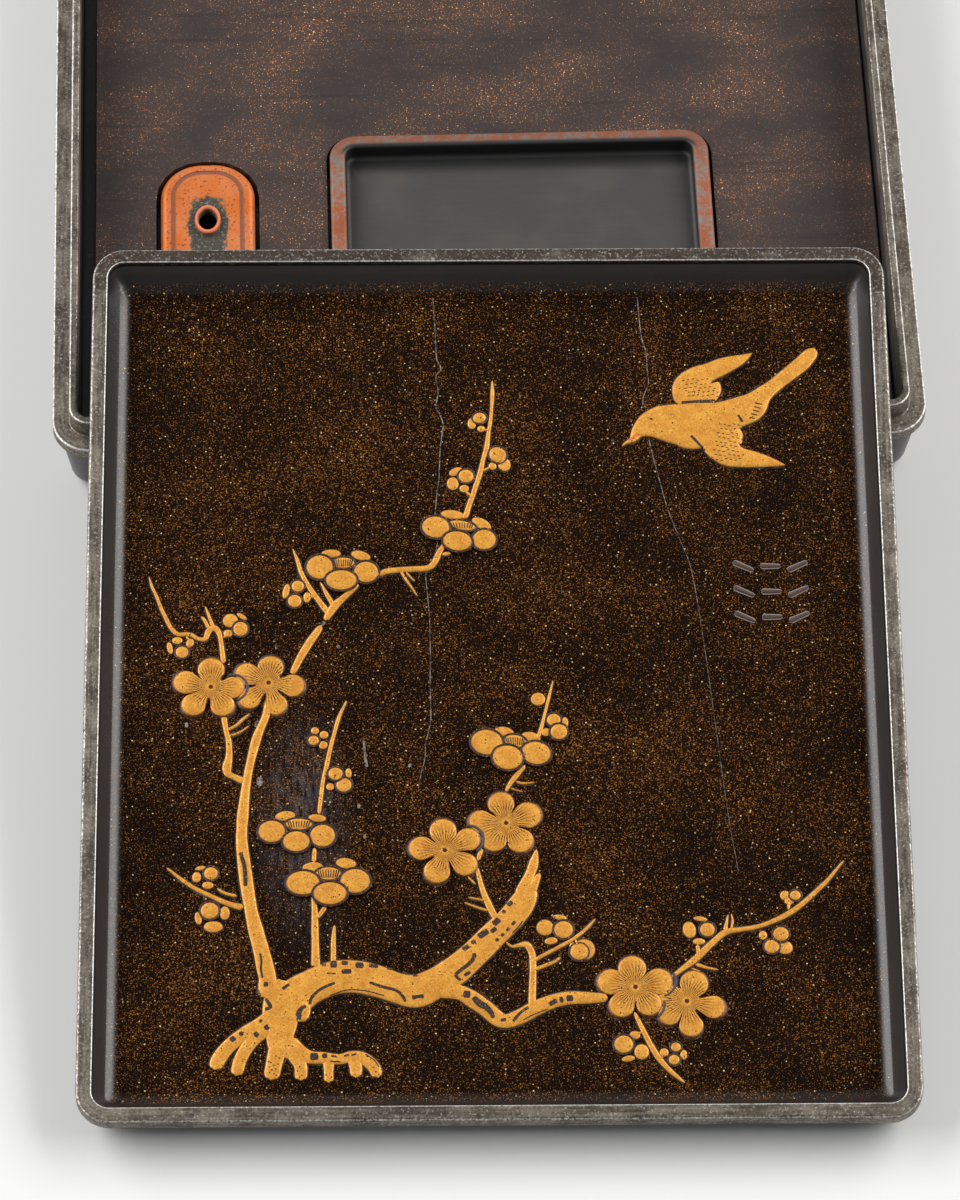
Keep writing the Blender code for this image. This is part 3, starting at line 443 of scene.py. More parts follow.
# Old ink and painted shade: dark along the well's walls, more towards the far end, and a painted shadow pool
# below the far wall.
ink_and_shade_rows = [0] * len(band_loops) + WELL_INK_AND_SHADE
ink_and_shade_share = np.repeat(ink_and_shade_rows, loops.shape[1]).reshape(loops.shape[:2])
ink_and_shade_share = ink_and_shade_share * np.clip(loops[:, :, 1] / INK_AND_SHADE_THINNING + INK_AND_SHADE_AT_MIDDLE, INK_AND_SHADE_LEAST, 1)
ink_and_shadow_pool = np.clip((loops[:, :, 1] - reach + INK_AND_SHADOW_POOL_REACH) / INK_AND_SHADOW_POOL_FADE, 0, 1)
ink_and_shade_share[len(band_loops):] = np.maximum(ink_and_shade_share, ink_and_shadow_pool)[len(band_loops):]
paint = np.repeat(paint_rows, loops.shape[1]).reshape(loops.shape[:2])
# On the far side the rim's rounded inner edge loses its red and is painted dark as shade.
inner_rows = slice(len(band_loops) - ARC_STEPS - 1, len(band_loops))
far_side = np.clip((loops[inner_rows, :, 1] - STONE_LENGTH / 2 + FAR_SIDE_REACH) / FAR_SIDE_FADE, 0, 1)
paint[inner_rows] *= 1 - far_side
ink_and_shade_share[inner_rows] = far_side
paint = paint * (1 - FAR_WEAR * np.clip((loops[:, :, 1] - FAR_WEAR_START) / FAR_WEAR_FADE, 0, 1))
loops = loops + stone_place
make_piece("inkstone_slab", loops, skin(loops), slate, ["inkstone"],
           {"painted": paint, "ink_and_shade": ink_and_shade_share})

# The water dropper: a flat copper box, soldered from sheet, with an incised line round its top and a
# ringed hole for the water. The air hole's ring stands a little above the top.
DROPPER_WIDTH = 24.4
DROPPER_LENGTH = 56.0
DROPPER_HEIGHT = 9.2
DROPPER_CORNER = 10.8
DROPPER_WALL = 1.0
DROPPER_EDGE_ROUND = 1.8
GROOVE_INSET = 3.3
GROOVE_WIDTH = 1.1
GROOVE_DEPTH = 0.3
GROOVE_EDGE = 0.1
TOP_INSIDE_GROOVE = 1.5
SPOUT_FROM_FAR_END = 19.5
SPOUT_WIDTH = 6.7
SPOUT_LENGTH = 9.2
SPOUT_HEIGHT = 1.3
SPOUT_SHOULDER = 1.0
PATINA_REACH = 1.3
PATINA_DRIFT = 0.6
PATINA_DEPTH = 2.0

# Old copper: gives a warm orange with dull red-brown specks and a pinkish bloom, a near-black groove,
# and a crust of dark patina with pale green streaks round the wetted hole.
copper, tree, shader = new_material("copper")
place = add_node(tree, "TexCoord", {}).outputs["Object"]
sunk = add_node(tree, "Attribute", {}, attribute_name="sunk").outputs["Fac"]
near_spout = add_node(tree, "Attribute", {}, attribute_name="near_spout").outputs["Fac"]
lip = add_node(tree, "Attribute", {}, attribute_name="lip").outputs["Fac"]
bloom = add_node(tree, "TexNoise", {"Vector": place, "Scale": 1 / (9 * MM), "Detail": 5, "Roughness": 0.6})
specks = add_node(tree, "TexNoise", {"Vector": place, "Scale": 1 / (0.8 * MM), "Detail": 3,
                                     "Roughness": 0.7})
streaks = add_node(tree, "TexNoise", {"Vector": place, "Scale": 1 / (1.6 * MM), "Detail": 6,
                                      "Roughness": 0.75})
bloom_share = add_node(tree, "MapRange", {"Value": bloom.outputs[0], "From Min": 0.35, "From Max": 0.65})
speck_share = add_node(tree, "MapRange", {"Value": specks.outputs[0], "From Min": 0.57, "From Max": 0.66})
tone = add_node(tree, "Mix", {0: bloom_share.outputs[0], 6: linear("#CE661A"), 7: linear("#CC7A48")},
                data_type="RGBA")
specked = add_node(tree, "Mix", {0: speck_share.outputs[0], 6: tone.outputs[2], 7: linear("#6B2E1C")},
                   data_type="RGBA")
groove_share = add_node(tree, "MapRange", {"Value": sunk, "To Max": 0.8})
grooved = add_node(tree, "Mix", {0: groove_share.outputs[0], 6: specked.outputs[2], 7: linear("#74483C")},
                   data_type="RGBA")
crust_field = add_node(tree, "Math", {0: near_spout, 1: streaks.outputs[0]}, operation="ADD")
crust_share = add_node(tree, "MapRange", {"Value": crust_field.outputs[0], "From Min": 1.0,
                                          "From Max": 1.08})
green_share = add_node(tree, "MapRange", {"Value": specks.outputs[0], "From Min": 0.54,
                                          "From Max": 0.72})
crust = add_node(tree, "Mix", {0: green_share.outputs[0], 6: linear("#3A352C"), 7: linear("#84907A")},
                 data_type="RGBA")
crusted = add_node(tree, "Mix", {0: crust_share.outputs[0], 6: grooved.outputs[2], 7: crust.outputs[2]},
                   data_type="RGBA")
lipped = add_node(tree, "Mix", {0: lip, 6: crusted.outputs[2], 7: linear("#D97850")}, data_type="RGBA")
bare = add_node(tree, "MapRange", {"Value": crust_share.outputs[0], "To Min": 0.30, "To Max": 0.05})
roughness = add_node(tree, "MapRange", {"Value": bloom.outputs[0], "To Min": 0.38, "To Max": 0.62})
dents = add_node(tree, "Bump", {"Height": streaks.outputs[0], "Strength": 0.25, "Distance": 0.12 * MM})
tree.links.new(lipped.outputs[2], shader.inputs["Base Color"])
tree.links.new(bare.outputs[0], shader.inputs["Metallic"])
tree.links.new(roughness.outputs[0], shader.inputs["Roughness"])
tree.links.new(dents.outputs[0], shader.inputs["Normal"])


def spout_oval(width, length, heart, bearings):
    """Points of an oval round the spout's heart, one at each bearing from it."""
    reach_x = width / 2 * np.cos(bearings)
    reach_y = length / 2 * np.sin(bearings)
    return np.stack([reach_x, heart + reach_y], axis=1)


dropper_place = centre_of("water_dropper")
heart = DROPPER_LENGTH / 2 - SPOUT_FROM_FAR_END
top = DROPPER_HEIGHT
rounding = DROPPER_EDGE_ROUND
groove_lip = GROOVE_WIDTH / 2 + GROOVE_EDGE
section = [(rounding / 2, 0.0), (0.0, rounding / 2)]
section += arc(rounding, top - rounding, rounding, 180, 90)
section += [(GROOVE_INSET - groove_lip, top), (GROOVE_INSET - GROOVE_WIDTH / 2, top - GROOVE_DEPTH / 2),
            (GROOVE_INSET, top - GROOVE_DEPTH), (GROOVE_INSET + GROOVE_WIDTH / 2, top - GROOVE_DEPTH / 2),
            (GROOVE_INSET + groove_lip, top), (GROOVE_INSET + TOP_INSIDE_GROOVE, top)]
outside = turned(DROPPER_WIDTH, DROPPER_LENGTH, DROPPER_CORNER, section)
bearings = np.arctan2(outside[0, :, 1] - heart, outside[0, :, 0])
ring_rows = [(1.25, 0.0), (1.04, 0.0), (1.0, 0.25), (1.0, SPOUT_SHOULDER), (0.94, SPOUT_HEIGHT),
             (0.82, SPOUT_HEIGHT), (0.74, SPOUT_SHOULDER), (0.70, 0.0), (0.70, -DROPPER_WALL)]
ring_loops = []
for scale, rise in ring_rows:
    oval = spout_oval(SPOUT_WIDTH * scale, SPOUT_LENGTH * scale, heart, bearings)
    ring_loops.append(np.column_stack([oval, np.full(len(oval), top + rise)]))
hollow_section = [(DROPPER_WALL + rounding, top - DROPPER_WALL),
                  (DROPPER_WALL, top - DROPPER_WALL - rounding), (DROPPER_WALL, DROPPER_WALL)]
hollow = turned(DROPPER_WIDTH, DROPPER_LENGTH, DROPPER_CORNER, hollow_section)
loops = np.concatenate([outside, np.array(ring_loops), hollow])
rows = len(outside)
sunk_rows = [0] * len(loops)
sunk_rows[rows - 6:rows - 1] = [0.0, 1.0, 1.0, 1.0, 0.0]
lip_rows = [0] * len(loops)
lip_rows[rows + 2:rows + 8] = [0.2, 0.9, 1.0, 1.0, 0.5, 0.0]
along_spout = (loops[:, :, 1] - heart + PATINA_DRIFT) / SPOUT_LENGTH
from_heart = np.hypot(loops[:, :, 0] / SPOUT_WIDTH, along_spout) * 2
near = np.clip(1 - (from_heart - 1) / PATINA_REACH, 0, 1) * (loops[:, :, 2] > top - PATINA_DEPTH)
near[rows + 6:] = 1.0
loops = loops + dropper_place
make_piece("copper_dropper", loops, skin(loops), copper, ["water_dropper"],
           {"sunk": np.repeat(sunk_rows, loops.shape[1]), "lip": np.repeat(lip_rows, loops.shape[1]),
            "near_spout": near})

# The lid, lying inside up: a shallow tray of lacquered wood with round outer sides, a leaning inner
# wall and a small cove down to the flat field. Its near end is on the table, its far end on the lip.
LID_WIDTH = 198.5
LID_LENGTH = 232.4
LID_CORNER = 8.0
LID_HEIGHT = 12.0
LID_RIM_WIDTH = 3.8
LID_RIM_THICKNESS = 1.3
LID_RIM_SKIRT_THICKNESS = 0.9
LID_SIDE_ROUND = 8.0
LID_FIELD_LEVEL = 5.0
LID_WALL_SPREAD = 2.3
LID_COVE = 3.4
LID_COVE_RISE = 1.5
LID_COVE_CURVE = 1.7
LID_COVE_GLOSS = [1, 1, 1, 1, 0.9, 0.7, 0.4, 0.2, 0]
LID_FIELD_RUN = 10.0
LID_SIDE_STEPS = 16
LID_NEAR_EDGE = (-4.50, -217.80, -1.302)
LID_TILT = math.radians(8.663)
LID_TURN = math.radians(-1.26)
lid_turning = np.array(Matrix.Rotation(LID_TURN, 3, "Z") @ Matrix.Rotation(LID_TILT, 3, "X"))


def on_lid(points, level=LID_FIELD_LEVEL):
    """Places from the middle of the lid's field, carried onto the lid where it lies."""
    lifted = np.asarray(points).reshape(-1, 3) + (0, LID_LENGTH / 2, level)
    return lifted @ lid_turning.T + LID_NEAR_EDGE


DUST_SPACING = 0.37
GRAIN_SPACING = 1.25
DUST_CLOUD = 22.0
RUBBED_PLACE = (-46.0, -39.0, 0.0)
RUBBED_REACH = (13.0, 34.0, 100.0)

# Ground of sprinkled gold dust in brown-black lacquer: gives a dark field that glitters with fine
# brown-gold dust in drifting clouds and a few pale grains, with a blue-grey haze where it is rubbed
# beside the trunk. The walls shine under a clear coat. The dust is drawn coarser than it is, so that
# it shows.
lid_lacquer, tree, shader = new_material("lid_lacquer")
place = add_node(tree, "TexCoord", {}).outputs["Object"]
plain = add_node(tree, "Attribute", {}, attribute_name="plain").outputs["Fac"]
clouds = add_node(tree, "TexNoise", {"Vector": place, "Scale": 1 / (DUST_CLOUD * MM), "Detail": 5,
                                     "Roughness": 0.62})
dust = add_node(tree, "TexVoronoi", {"Vector": place, "Scale": 1 / (DUST_SPACING * MM), "Randomness": 1.0})
grains = add_node(tree, "TexVoronoi", {"Vector": place, "Scale": 1 / (GRAIN_SPACING * MM),
                                       "Randomness": 1.0})
dust_reach = add_node(tree, "MapRange", {"Value": clouds.outputs[0], "From Min": 0.32, "From Max": 0.68,
                                         "To Min": 0.26, "To Max": 0.48})
dust_share = add_node(tree, "Math", {0: dust.outputs["Distance"], 1: dust_reach.outputs[0]},
                      operation="LESS_THAN")
grain_share = add_node(tree, "Math", {0: grains.outputs["Distance"], 1: 0.15}, operation="LESS_THAN")
hue = add_node(tree, "SeparateColor", {"Color": dust.outputs["Color"]})
grain_hue = add_node(tree, "SeparateColor", {"Color": grains.outputs["Color"]})
bright = add_node(tree, "Math", {0: hue.outputs[0], 1: 2.5}, operation="POWER")
grain_bright = add_node(tree, "Math", {0: grain_hue.outputs[0], 1: 3.0}, operation="POWER")
base = add_node(tree, "Mix", {0: clouds.outputs[0], 6: linear("#0E0704"), 7: linear("#180C06")},
                data_type="RGBA")
dust_tone = add_node(tree, "Mix", {0: bright.outputs[0], 6: linear("#28140A"), 7: linear("#9C6528")},
                     data_type="RGBA")
dusted = add_node(tree, "Mix", {0: dust_share.outputs[0], 6: base.outputs[2], 7: dust_tone.outputs[2]},
                  data_type="RGBA")
grain_tone = add_node(tree, "Mix", {0: grain_bright.outputs[0], 6: linear("#5A3818"), 7: linear("#E6C890")},
                      data_type="RGBA")
grained = add_node(tree, "Mix", {0: grain_share.outputs[0], 6: dusted.outputs[2], 7: grain_tone.outputs[2]},
                   data_type="RGBA")
plain_tone = add_node(tree, "Mix", {0: clouds.outputs[0], 6: linear("#1C1614"), 7: linear("#2E2623")},
                      data_type="RGBA")
from_rubbed = add_node(tree, "VectorMath", {0: place, 1: (on_lid(RUBBED_PLACE)[0] * MM).tolist()},
                       operation="SUBTRACT")
rubbed_size = [reach * MM for reach in RUBBED_REACH]
rubbed_share = add_node(tree, "VectorMath", {0: from_rubbed.outputs[0], 1: rubbed_size}, operation="DIVIDE")
rubbed_far = add_node(tree, "VectorMath", {0: rubbed_share.outputs[0]}, operation="LENGTH").outputs["Value"]
rubbed = add_node(tree, "MapRange", {"Value": rubbed_far, "From Min": 1.0, "From Max": 0.2})
upright = add_node(tree, "Mapping", {"Vector": place, "Scale": (1.0, 0.12, 1.0)})
rub_lines = add_node(tree, "TexNoise", {"Vector": upright.outputs[0], "Scale": 1 / (0.8 * MM), "Detail": 3,
                                        "Roughness": 0.7})
rub_broken = add_node(tree, "MapRange", {"Value": rub_lines.outputs[0], "From Min": 0.40, "From Max": 0.70,
                                         "To Max": 0.55})
rub_share = add_node(tree, "Math", {0: rubbed.outputs[0], 1: rub_broken.outputs[0]}, operation="MULTIPLY")
hazed = add_node(tree, "Mix", {0: rub_share.outputs[0], 6: grained.outputs[2], 7: linear("#5C5A60")},
                 data_type="RGBA")
surface = add_node(tree, "Mix", {0: plain, 6: hazed.outputs[2], 7: plain_tone.outputs[2]},
                   data_type="RGBA")
tree.links.new(surface.outputs[2], shader.inputs["Base Color"])
ripple_noise = add_node(tree, "TexNoise", {"Vector": place, "Scale": 1 / (0.9 * MM), "Detail": 3,
                                           "Roughness": 0.6})
ripple = add_node(tree, "Bump", {"Height": ripple_noise.outputs[0], "Strength": 0.35, "Distance": 0.12 * MM})
tree.links.new(ripple.outputs[0], shader.inputs["Normal"])
glossy = add_node(tree, "Attribute", {}, attribute_name="glossy").outputs["Fac"]
tree.links.new(glossy, shader.inputs["Coat Weight"])
shader.inputs["Coat Roughness"].default_value = 0.3
shader.inputs["Roughness"].default_value = 0.3
shader.inputs["IOR"].default_value = 1.45
shader.inputs["Specular IOR Level"].default_value = 0.1

lid_outer = LID_RIM_SKIRT_THICKNESS + TOUCH_GAP
lid_wood_top = LID_HEIGHT - LID_RIM_THICKNESS - TOUCH_GAP
lid_inner = LID_RIM_WIDTH + TOUCH_GAP
wall_foot = lid_inner + LID_WALL_SPREAD
section = arc(lid_outer + LID_SIDE_ROUND, LID_SIDE_ROUND, LID_SIDE_ROUND, 270, 180, LID_SIDE_STEPS)
section += [(lid_outer, lid_wood_top), (lid_inner, lid_wood_top),
            (wall_foot, LID_FIELD_LEVEL + LID_COVE_RISE)]
plain_rows = [1] * len(section)
gloss_rows = [1] * len(section)
cove_turn = np.linspace(0.12, 1.0, len(LID_COVE_GLOSS))
section += [(wall_foot + LID_COVE * share, LID_FIELD_LEVEL + LID_COVE_RISE * (1 - share) ** LID_COVE_CURVE)
            for share in cove_turn.tolist()]
plain_rows += [0.6] + [0] * (len(LID_COVE_GLOSS) - 1)
gloss_rows += LID_COVE_GLOSS
section += [(wall_foot + LID_COVE + LID_FIELD_RUN, LID_FIELD_LEVEL)]
plain_rows += [0]
gloss_rows += [0]
loops = turned(LID_WIDTH, LID_LENGTH, LID_CORNER, section)
make_piece("lid_tray", on_lid(loops, 0.0), skin(loops), lid_lacquer, ["lid"],
           {"plain": np.repeat(plain_rows, loops.shape[1]), "glossy": np.repeat(gloss_rows, loops.shape[1])})

# The lid's rim: the same dull metal, a flat band on the edge with a skirt outside.
LID_RIM_ROUND = 0.8
LID_RIM_SKIRT_DROP = 3.7
LID_INNER_ROUND = 0.35
BROWNED_REACH = 16.0
section = [(LID_RIM_SKIRT_THICKNESS, LID_HEIGHT - LID_RIM_THICKNESS),
           (LID_RIM_SKIRT_THICKNESS, LID_HEIGHT - LID_RIM_SKIRT_DROP),
           (0.0, LID_HEIGHT - LID_RIM_SKIRT_DROP)]
# Share of the bright edge line at each section point: rubbed metal and painted highlight.
edge_rub_and_highlight = [0, 0, 0.3]
section += arc(LID_RIM_ROUND, LID_HEIGHT - LID_RIM_ROUND, LID_RIM_ROUND, 180, 90)
edge_rub_and_highlight += [0.1, 0.1, 0.3, 0.6, 0.8, 0.8, 0.6, 0.4, 0.2]
section += arc(LID_RIM_WIDTH - LID_INNER_ROUND, LID_HEIGHT - LID_INNER_ROUND, LID_INNER_ROUND, 90, 0)
edge_rub_and_highlight += [0.3, 0.8, 1.0, 1.0, 1.0, 1.0, 0.8, 0.4, 0.1]
section += [(LID_RIM_WIDTH, LID_HEIGHT - LID_RIM_THICKNESS)]
edge_rub_and_highlight += [0]
loops = turned(LID_WIDTH, LID_LENGTH, LID_CORNER, section)
count = loops.shape[1]
far_share = np.sqrt(np.clip((loops[:, :, 1] - LID_LENGTH / 2 + BROWNED_REACH) / BROWNED_REACH, 0, 1))
make_piece("lid_metal_rim", on_lid(loops, 0.0), skin(loops, ring=True), rim_metal, ["lid_rim"],
           {"edge": np.repeat(edge_rub_and_highlight, count), "across": np.repeat(section_run(section), count),
            "browned": far_share})

# The plum tree: raised gold lacquer built up over the ground, the branches as low rounded bands that
# run into each other. Each knot is a place on the field and the band's width there.
PATH_STEP = 0.5
BRANCH_HEIGHT = 0.55
TWIG_HEIGHT = 0.42
EDGE_SHARE = 0.35
CROWN_POWER = 2.5
LEAST_HALF_WIDTH = 0.02
END_HALF_WIDTH = 0.01
HALO_WIDTH = 0.32
HALO_LEVEL = 0.012
BURIED = -0.15
LAP_SHARE = 0.004
LAP_STEP = 0.0004

BRANCHES = [
    [(-54.6, -83, 5.3), (-54.6, -78, 4.2), (-55.2, -75, 4.2), (-56.3, -70, 3.8), (-57.6, -65, 3.6),
     (-58.7, -60, 3.1), (-59.5, -55, 3.2), (-60.3, -49.2, 3.2), (-61, -42.5, 2.8), (-61, -39.2, 2.6),
     (-60.8, -35.8, 2.8), (-60.2, -29.2, 2.2), (-59.2, -22.5, 2.0), (-57.7, -15.8, 2.3),
     (-56.7, -12.9, 2.0), (-55.4, -9.4, 1.9), (-54.6, -5.0, 1.9)],
    [(-52, -78, 5.5), (-51.5, -85, 8.5), (-51.5, -89, 8), (-51.6, -93, 6.4), (-51, -97, 6.5)],
    [(-53, -87, 4), (-56.5, -89.5, 3.5), (-60.2, -92, 3.6), (-63.6, -94.8, 3.4), (-66, -98, 3.5),
     (-67, -100.8, 3.1)],
    [(-54, -90, 4), (-56.5, -91.5, 4), (-59, -94.6, 3.2), (-60.9, -98.2, 3.1), (-61.9, -102.3, 3.0)],
    [(-51.8, -94, 4.4), (-53, -99.5, 3.9), (-53.7, -103.4, 3.8)],
    [(-49, -95, 4), (-48, -97, 4), (-46.7, -100, 3.1), (-46.7, -103.6, 3.1)],
    [(-40.2, -97, 3.4), (-40.1, -101, 2.3), (-40.1, -104.2, 2.3)],
    [(-34.4, -97, 3.5), (-33.7, -100.5, 3.0), (-33.8, -103.0, 2.6)],
    [(-51, -93, 5.5), (-49, -95.5, 5.5), (-45, -97.6, 3.4), (-41, -98, 3.0), (-37.5, -98.3, 2.6),
     (-34.5, -97.6, 2.8), (-31.8, -98.2, 3.0), (-29.5, -100.3, 3.0), (-28.5, -103, 2.5)],
    [(-46.0, -83.5, 3.2), (-46.2, -86.5, 3.4), (-47.2, -88.8, 2.6)],
    [(-52, -86.5, 9), (-48, -82.5, 9.3), (-44.2, -79.9, 8.5), (-39, -77.7, 8.5), (-34, -77.4, 8.2),
     (-29, -78.5, 8), (-24, -80.3, 7.6), (-19.5, -81.2, 8.4), (-15, -79.3, 7.7), (-10.5, -76.3, 7.4),
     (-6, -72.3, 6.8), (-1.5, -67.6, 6.6), (3, -63, 6.3), (6.2, -58.6, 6), (8.3, -54, 4.0)],
    [(5.5, -57.5, 3.4), (6.5, -55, 3.2), (8, -51.5, 2.4), (9, -48.5, 2.3), (9.7, -45.0, 0.6)],
    [(8.2, -56, 2.6), (9.2, -53.6, 2.0), (10.4, -51.2, 1.0)],
    [(-18, -80.5, 5), (-14, -80.5, 5), (-9, -81.7, 3.8), (-6.2, -83.3, 4.2), (-3, -85.7, 4),
     (-0.3, -88.2, 3.9), (1.8, -89, 3.5), (5.2, -87.8, 3.8), (8.8, -85.8, 3.8), (13, -84, 3.5),
     (17.1, -83.2, 3.3), (21, -83.2, 3), (26, -83.2, 2)],
    [(-48.9, 1.6, 1.4), (-48.7, 2.5, 1.6), (-47, 6.25, 1.9), (-44.9, 10, 2.0), (-42.8, 13.3, 1.7),
     (-41.9, 14.6, 1.0)],
    [(-41.0, 16.0, 1.2), (-40.5, 17.1, 1.7), (-38.7, 20, 2.1), (-36.6, 22.1, 1.6), (-34.1, 24.6, 1.4),
     (-33.0, 26.0, 1.2)],
    [(-28.8, 28.2, 1.0), (-27.5, 28.5, 1.2), (-26.25, 29.2, 1.5), (-23.3, 29.6, 1.5), (-20, 29.8, 1.5),
     (-16.7, 30, 1.5), (-15, 30.6, 1.5), (-13.75, 32.5, 1.5), (-12.9, 34.6, 1.4), (-11.6, 36.6, 1.2)],
]
TWIGS = [
    [(-60.5, -59.6, 1.7), (-64, -58.6, 1.3), (-68, -56.7, 1.1), (-72, -54.6, 1.0), (-75, -52.5, 0.9),
     (-78.9, -49.2, 0.5)],
    [(-62, -56.7, 0.8), (-65, -55.8, 0.7), (-66.8, -54.6, 0.5)],
    [(-43.2, -75, 2.2), (-43.3, -70, 1.8), (-43.4, -65, 1.7), (-43.5, -60, 1.4), (-43.8, -56.5, 1.0)],
    [(-43.4, -62.5, 1.0), (-42.5, -61.8, 1), (-40.8, -59.4, 1.2)],
    [(-39, -74, 1.3), (-39, -68, 1.1), (-38.7, -64.2, 0.5)],
    [(-65.6, -9.4, 1.5), (-65, -13.3, 1.2), (-64.4, -15.8, 1.3), (-64.2, -18.8, 1.5),
     (-64.3, -20.8, 1.8), (-64.7, -22.9, 2.2), (-64.5, -24.6, 1.8), (-62.9, -25.6, 1.5),
     (-60.2, -26.9, 1.8)],
    [(-64.6, -13.2, 0.8), (-62.5, -11.9, 0.7), (-60.8, -10.2, 0.7), (-59.2, -8.8, 0.3)],
    [(-64.2, -14.8, 0.6), (-61.7, -13.8, 0.5), (-59.4, -12.1, 0.4)],
    [(-42.5, -35.4, 0.9), (-42, -30.8, 1), (-41.5, -26.7, 0.9), (-40.6, -22.5, 1.1),
     (-39.8, -18.3, 1), (-38.8, -14.2, 0.9), (-37.7, -10, 0.9), (-35.8, -5.5, 0.4)],
    [(-43.5, -44.2, 0.9), (-43.7, -48, 1.1)],
    [(-4.7, -49.6, 1.0), (-4.4, -51, 1.0), (-3.3, -55.5, 1.3), (-2, -59, 1.6), (-0.5, -62.3, 1.5),
     (1.2, -65.2, 1.0)],
    [(-2.5, -58.2, 0.6), (-6.9, -57.3, 0.4)],
    [(-2, -60.8, 0.7), (-5, -59.8, 0.6), (-7.8, -58.6, 0.4)],
    [(-5.0, -54.0, 0.5), (-6.9, -51.9, 0.4)],
    [(-3.5, -44.6, 1.2), (-4.4, -47.8, 0.9)],
    [(8, -85.5, 1.8), (8.2, -80, 1.7), (8.4, -75, 1.6), (8.2, -71.8, 1.6), (7, -69.6, 1.6),
     (5, -69.7, 1), (3.5, -70, 0.7), (2.0, -68.8, 0.4)],
    [(8.4, -73.8, 0.9), (11, -72.2, 0.9), (14.5, -70.3, 0.9), (18, -68.2, 0.9), (21, -65.8, 0.8),
     (23.5, -63.0, 0.4)],
    [(8.6, -76.0, 1), (11.5, -74.8, 0.9), (13.5, -73.9, 0.8), (15, -72.8, 0.5)],
    [(41.0, -78.2, 0.9), (44.5, -75.5, 1.3), (47.5, -73, 1.7), (51, -69.5, 1.5), (54.3, -66.7, 1.5),
     (58, -66, 1.2), (62, -65.3, 1.1), (66, -63.8, 1.2), (70, -61.7, 1.4), (73.5, -59, 1.2),
     (77, -55.7, 1.1), (79.6, -53, 0.9), (82, -50, 0.6), (83.4, -48.3, 0.3)],
    [(54.3, -66.4, 1.2), (54.8, -63.8, 0.6), (55.2, -62.1, 0.3)],
    [(55.8, -66.0, 0.6), (56.2, -63.8, 0.5), (55.9, -61.9, 0.3)],
    [(47.0, -74.8, 0.9), (50, -75.8, 0.7), (52.5, -76.3, 0.4)],
    [(46.0, -75.9, 0.5), (48.3, -76.7, 0.3)],
    [(47.9, -72.6, 1), (47.6, -69.8, 0.9)],
    [(32.2, -86.9, 0.8), (34.1, -91.3, 1.2), (35.8, -95, 1.3), (37.6, -98.3, 1.4), (39.7, -101, 1.2),
     (42, -103.3, 0.9), (43.7, -104.8, 0.4)],
    [(7.3, -22.9, 0.9), (5, -25.8, 1.3), (3.5, -27.9, 1), (2.5, -29.9, 0.8)],
    [(5, -27.2, 0.6), (6.7, -27.7, 0.6), (9.6, -27.5, 0.3)],
    [(3.6, -29.0, 0.4), (6.7, -30.0, 0.3)],
    [(10.4, -16.0, 1), (11.5, -12.5, 0.9), (12.3, -9.2, 0.7), (13.3, -5, 0.7), (14.4, -0.5, 0.3)],
    [(-65.75, 4.6, 1.3), (-66.4, 10, 1.1), (-67, 12.9, 1.3), (-68.25, 14.2, 1.6), (-69.5, 13.3, 1.5),
     (-70.3, 11.25, 1.2), (-72, 11.25, 1.0), (-73.7, 12.3, 1.0), (-75.3, 12.5, 1.1), (-77, 12.5, 1.1),
     (-78.7, 14.2, 1.0), (-79.9, 16.7, 1.0), (-81.2, 19.6, 0.9), (-82.4, 22.9, 0.8),
     (-83.5, 25.4, 0.7), (-84.3, 28.2, 0.3)],
    [(-68.3, 14.0, 1.0), (-69.2, 16.7, 0.8), (-70.4, 20.0, 0.3)],
    [(-69.4, 13.9, 0.9), (-70.5, 16.25, 0.8), (-71.4, 17.2, 0.4)],
    [(-65.9, 11.5, 0.8), (-64.9, 12.4, 0.8)],
    [(-75.0, 12.0, 0.6), (-74.2, 10.8, 0.6)],
    [(-39.8, 17.6, 1.5), (-40.75, 18.75, 1.5), (-42.8, 21.7, 1.3), (-44.9, 25, 1.2),
     (-46.8, 28.75, 1.1), (-47.8, 32.1, 0.9), (-49.0, 35.5, 0.3)],
    [(-39.0, 19.8, 1.1), (-39.6, 21.2, 1.1), (-40.75, 23.3, 1.0), (-41.6, 25.2, 0.6),
     (-42.3, 26.4, 0.3)],
    [(-43.4, 22.6, 0.9), (-45.0, 22.4, 0.9)],
    [(-22.6, 29.4, 0.7), (-21.25, 27.1, 0.6), (-20.0, 25.1, 0.5), (-18.4, 22.4, 0.3)],
    [(-21.2, 29.0, 0.5), (-19.1, 26.5, 0.3)],
    [(-7.0, 43.6, 1.3), (-6.25, 44.8, 1.4), (-5.6, 47.1, 1.3), (-4.6, 50, 1.25), (-3.75, 52.9, 1.25),
     (-2.7, 56.25, 1.3), (-1.9, 60, 1.1), (-1, 63.3, 1.3), (-0.6, 66.7, 1.0), (0, 70.4, 0.9),
     (0.4, 74.6, 0.8), (0.6, 78.3, 1.0), (0.6, 82.0, 0.4)],
    [(-6.4, 51.2, 0.7), (-4.8, 49.6, 0.6)],
    [(-0.2, 57.8, 0.6), (-2.2, 56.7, 0.6)],
    [(-1.8, 68.2, 0.6), (-0.4, 68.1, 0.7)],
    [(19.0, -69.8, 0.6), (18.6, -68.2, 0.6)],
    [(69.9, -58.6, 0.7), (69.6, -61.0, 0.7)],
    [(32.6, -92.4, 0.7), (34.0, -92.0, 0.7)],
    [(38.8, -98.2, 0.7), (38.0, -98.6, 0.7)],
]


